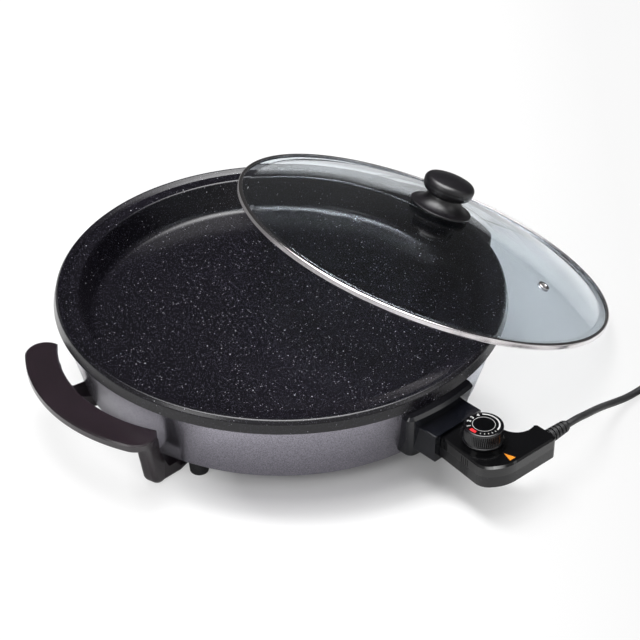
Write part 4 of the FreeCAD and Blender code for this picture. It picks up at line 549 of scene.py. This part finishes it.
def printed(start, end, inner, outer):
    """A patch of ink between two angles in degrees, with the inner and outer radius given at both angles. Its four
    edges run evenly from the first angle to the second, and its two ends are closed."""
    share = np.linspace(0, 1, 2 + int(abs(end - start) / 4))
    angle = np.radians(start + (end - start) * share)
    near, far = inner[0] + (inner[1] - inner[0]) * share, outer[0] + (outer[1] - outer[0]) * share
    radius = np.stack([near, far, far, near], axis=-1)
    height = np.tile((ink_low, ink_low, ink_high, ink_high), (len(share), 1))
    loops = np.stack([radius * np.cos(angle)[:, None], radius * np.sin(angle)[:, None], height], axis=-1)
    loops = loops + dial_middle
    ends = [(loops[at][[0, 1, 3, 2]].reshape(2, 2, 3), SHEET) for at in (0, -1)]
    return [(loops, SLEEVE), *ends]


scale_marks = printed(0, 360, (9.7, 9.7), (10.1, 10.1)) + printed(48, -78, (13.3, 12.9), (14.4, 14.4))
for mark in (-90, -105, -120, -135, -150):
    scale_marks += printed(mark - 1.6, mark + 1.6, (12.7, 12.7), (14.3, 14.3))
piece("dial_scale", scale_marks, white_ink, "dial", "printed_plate")
piece("dial_off_mark", printed(165, 192, (11.8, 11.8), (14.9, 14.9)), red_ink, "dial", "printed_plate")

# The numbers stand on a circle, each with its foot towards the dial's middle and its strokes swelled a little.
digit_height = 4.6
digit_swell = 0.17
digit_circle = 13.2
for number, angle in (("1", 147), ("2", 117), ("3", 92), ("4", 65)):
    digit_curve = bpy.data.curves.new("digit_" + number, "FONT")
    digit_curve.body = number
    digit_curve.size = digit_height * MM
    digit_curve.extrude = (ink_high - ink_low) / 2 * MM
    digit_curve.offset = digit_swell * MM
    digit_curve.align_x = "CENTER"
    digit_curve.align_y = "CENTER"
    digit_flat = bpy.data.objects.new("digit_flat", digit_curve)
    digit_mesh = bpy.data.meshes.new_from_object(digit_flat)
    bpy.data.objects.remove(digit_flat)
    digit_place = (Matrix.Translation((dial_middle + (0, 0, (ink_low + ink_high) / 2)) * MM)
                   @ Matrix.Rotation(math.radians(angle - 90), 4, "Z")
                   @ Matrix.Translation((0, digit_circle * MM, 0)))
    digit_mesh.transform(digit_place)
    digit_mesh.materials.clear()
    digit_mesh.materials.append(white_ink)
    digit = bpy.data.objects.new("dial_digit_" + number, digit_mesh)
    bpy.context.scene.collection.objects.link(digit)
    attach(digit, "dial")

# The cord's ends: a ribbed boot where it leaves the thermostat, a strap pulled tight round the coil, and a plug
# moulded onto the end, with two round pins and earth strips.

# Soft PVC over the conductors' joints, matt from its mould.
boot_vinyl = moulded("moulded_black_vinyl", "#131314", "#1d1d1f", 0.48, 10, 1.2, 0.04, 0.45)
dress(boot_vinyl, "strain_relief", "plug_body")

# Nylon strap: black and a little shiny, as drawn from its die.
tie_nylon = moulded("black_nylon_strap", "#17171a", "#242427", 0.4, 6, 1.0, 0.04)
dress(tie_nylon, "cord_tie")

# The studio: a wide table of white paper under four soft lamps, in a white surround. The paper glows away from the
# front of the skillet, so that only the shadow there is deep. A painted shade makes it a little greyer to the right,
# as in the photograph. Mirrors see it darker behind the skillet.
to_the_right = (0.7145, -0.6997, 0.0)
to_the_back = (0.6997, 0.7145, 0.0)
to_the_front = (-0.7, -0.715, 0.0)
deepest_shadow = (-0.07, -0.15, 0.0)
floor_mesh = bpy.data.meshes.new("studio_table")
floor_half = 6.0
floor_mesh.from_pydata([(-floor_half, -floor_half, 0), (floor_half, -floor_half, 0), (floor_half, floor_half, 0),
                        (-floor_half, floor_half, 0)], [], [(0, 1, 2, 3)])
studio_table = bpy.data.objects.new("studio_table", floor_mesh)
bpy.context.scene.collection.objects.link(studio_table)

# Matt paper: white, with a glow that only the camera sees.
table_paper = blank("white_paper")
table_rays = add(table_paper, "LightPath").outputs
paper_here = add(table_paper, "TexCoord").outputs["Object"]
rightward = add(table_paper, "VectorMath", {0: paper_here, 1: to_the_right}, operation="DOT_PRODUCT")
# Painted shade: the paper's tone, and its glow, turn greyer towards the right.
painted_shade_right = add(table_paper, "MapRange", {"Value": rightward.outputs["Value"], "From Min": 0.1,
                                       "From Max": 0.35}).outputs[0]
paper_tone_and_shade = add(table_paper, "Mix", {0: painted_shade_right, 6: linear("#f6f6f6"), 7: linear("#e9e9e9")},
                 data_type="RGBA").outputs[2]
paper = add(table_paper, "BsdfDiffuse", {"Color": paper_tone_and_shade})
glow = add(table_paper, "Emission", {"Color": paper_tone_and_shade, "Strength": 1.1})
from_shadow = add(table_paper, "VectorMath", {0: paper_here, 1: deepest_shadow}, operation="DISTANCE")
lightness = add(table_paper, "MapRange", {"Value": from_shadow.outputs["Value"], "From Min": 0.09, "From Max": 0.19,
                                          "To Min": 0.05, "To Max": 0.85}).outputs[0]
glow_share = add(table_paper, "Math", {0: table_rays["Is Camera Ray"], 1: lightness}, operation="MULTIPLY").outputs[0]
glowing = add(table_paper, "MixShader", {0: glow_share, 1: paper.outputs[0], 2: glow.outputs[0]})
backward = add(table_paper, "VectorMath", {0: paper_here, 1: to_the_back}, operation="DOT_PRODUCT")
behind = add(table_paper, "MapRange", {"Value": backward.outputs["Value"], "From Min": 0.05, "From Max": 0.3,
                                       "To Min": 0.0, "To Max": 0.8}).outputs[0]
in_mirrors = add(table_paper, "Math", {0: table_rays["Is Glossy Ray"], 1: table_rays["Is Transmission Ray"]},
                 operation="SUBTRACT", use_clamp=True).outputs[0]
dark_share = add(table_paper, "Math", {0: in_mirrors, 1: behind}, operation="MULTIPLY").outputs[0]
dark_paper = add(table_paper, "BsdfDiffuse", {"Color": linear("#101012")})
table_light = add(table_paper, "MixShader", {0: dark_share, 1: glowing.outputs[0], 2: dark_paper.outputs[0]})
add(table_paper, "OutputMaterial", {"Surface": table_light.outputs[0]})
floor_mesh.materials.append(table_paper)


def soft_lamp(name, place, aim, width, height, power, mirrored=True):
    """An area lamp of that width and height in metres, at place and turned towards aim, seen in mirrors or not."""
    lamp_data = bpy.data.lights.new(name, "AREA")
    lamp_data.shape = "RECTANGLE"
    lamp_data.size = width
    lamp_data.size_y = height
    lamp_data.energy = power
    lamp = bpy.data.objects.new(name, lamp_data)
    lamp.visible_glossy = mirrored
    bpy.context.scene.collection.objects.link(lamp)
    facing = (Vector(aim) - Vector(place)).to_track_quat("-Z", "Y")
    lamp.matrix_world = Matrix.Translation(place) @ facing.to_matrix().to_4x4()


soft_lamp("key_softbox", (0.15, 1.0, 2.5), (0.0, 0.0, 0.0), 1.1, 1.1, 62.0, mirrored=False)
soft_lamp("overhead_softbox", (-0.1, 0.1, 2.2), (0.0, 0.0, 0.0), 0.9, 0.9, 18.0, mirrored=False)
soft_lamp("left_softbox", (-2.6, -0.2, 1.6), (0.0, 0.0, 0.05), 1.2, 1.2, 18.0)
soft_lamp("right_softbox", (1.2, -2.6, 1.5), (0.0, 0.0, 0.05), 1.2, 1.2, 6.0)

# The room: plain white to the camera, straight or through glass. Mirrors see it bright overhead and on the camera's
# side and dim on the far side, and everything else gets an even, weaker light from it.
world = bpy.data.worlds.new("white_room")
bpy.context.scene.world = world
world.use_nodes = True
world.node_tree.nodes.clear()
rays = add(world, "LightPath").outputs
unreflected = add(world, "Math", {0: rays["Glossy Depth"], 1: 0.5}, operation="LESS_THAN")
through_glass = add(world, "Math", {0: rays["Is Transmission Ray"], 1: unreflected.outputs[0]}, operation="MULTIPLY")
direct = add(world, "Math", {0: rays["Is Camera Ray"], 1: through_glass.outputs[0]}, operation="ADD", use_clamp=True)
by_mirror = add(world, "Math", {0: rays["Is Glossy Ray"], 1: rays["Is Transmission Ray"]}, operation="MAXIMUM")
outward = add(world, "TexCoord").outputs["Generated"]
frontward = add(world, "VectorMath", {0: outward, 1: to_the_front}, operation="DOT_PRODUCT")
walls = add(world, "MapRange", {"Value": frontward.outputs["Value"], "From Min": -0.4, "From Max": 0.6,
                                "To Min": 0.06, "To Max": 0.7})
upward = add(world, "SeparateXYZ", {"Vector": outward}).outputs["Z"]
ceiling = add(world, "MapRange", {"Value": upward, "From Min": 0.8, "From Max": 0.95, "To Min": 0.0, "To Max": 12.0})
mirrored = add(world, "Math", {0: walls.outputs[0], 1: ceiling.outputs[0]}, operation="ADD")
room = add(world, "Background", {"Color": linear("#ffffff"), "Strength": 0.4})
reflected = add(world, "Background", {"Color": linear("#ffffff"), "Strength": mirrored.outputs[0]})
white = add(world, "Background", {"Color": linear("#ffffff"), "Strength": 1.0})
unseen = add(world, "MixShader", {0: by_mirror.outputs[0], 1: room.outputs[0], 2: reflected.outputs[0]})
seen = add(world, "MixShader", {0: direct.outputs[0], 1: unseen.outputs[0], 2: white.outputs[0]})
add(world, "OutputWorld", {"Surface": seen.outputs[0]})
bpy.context.scene.view_settings.view_transform = "Standard"
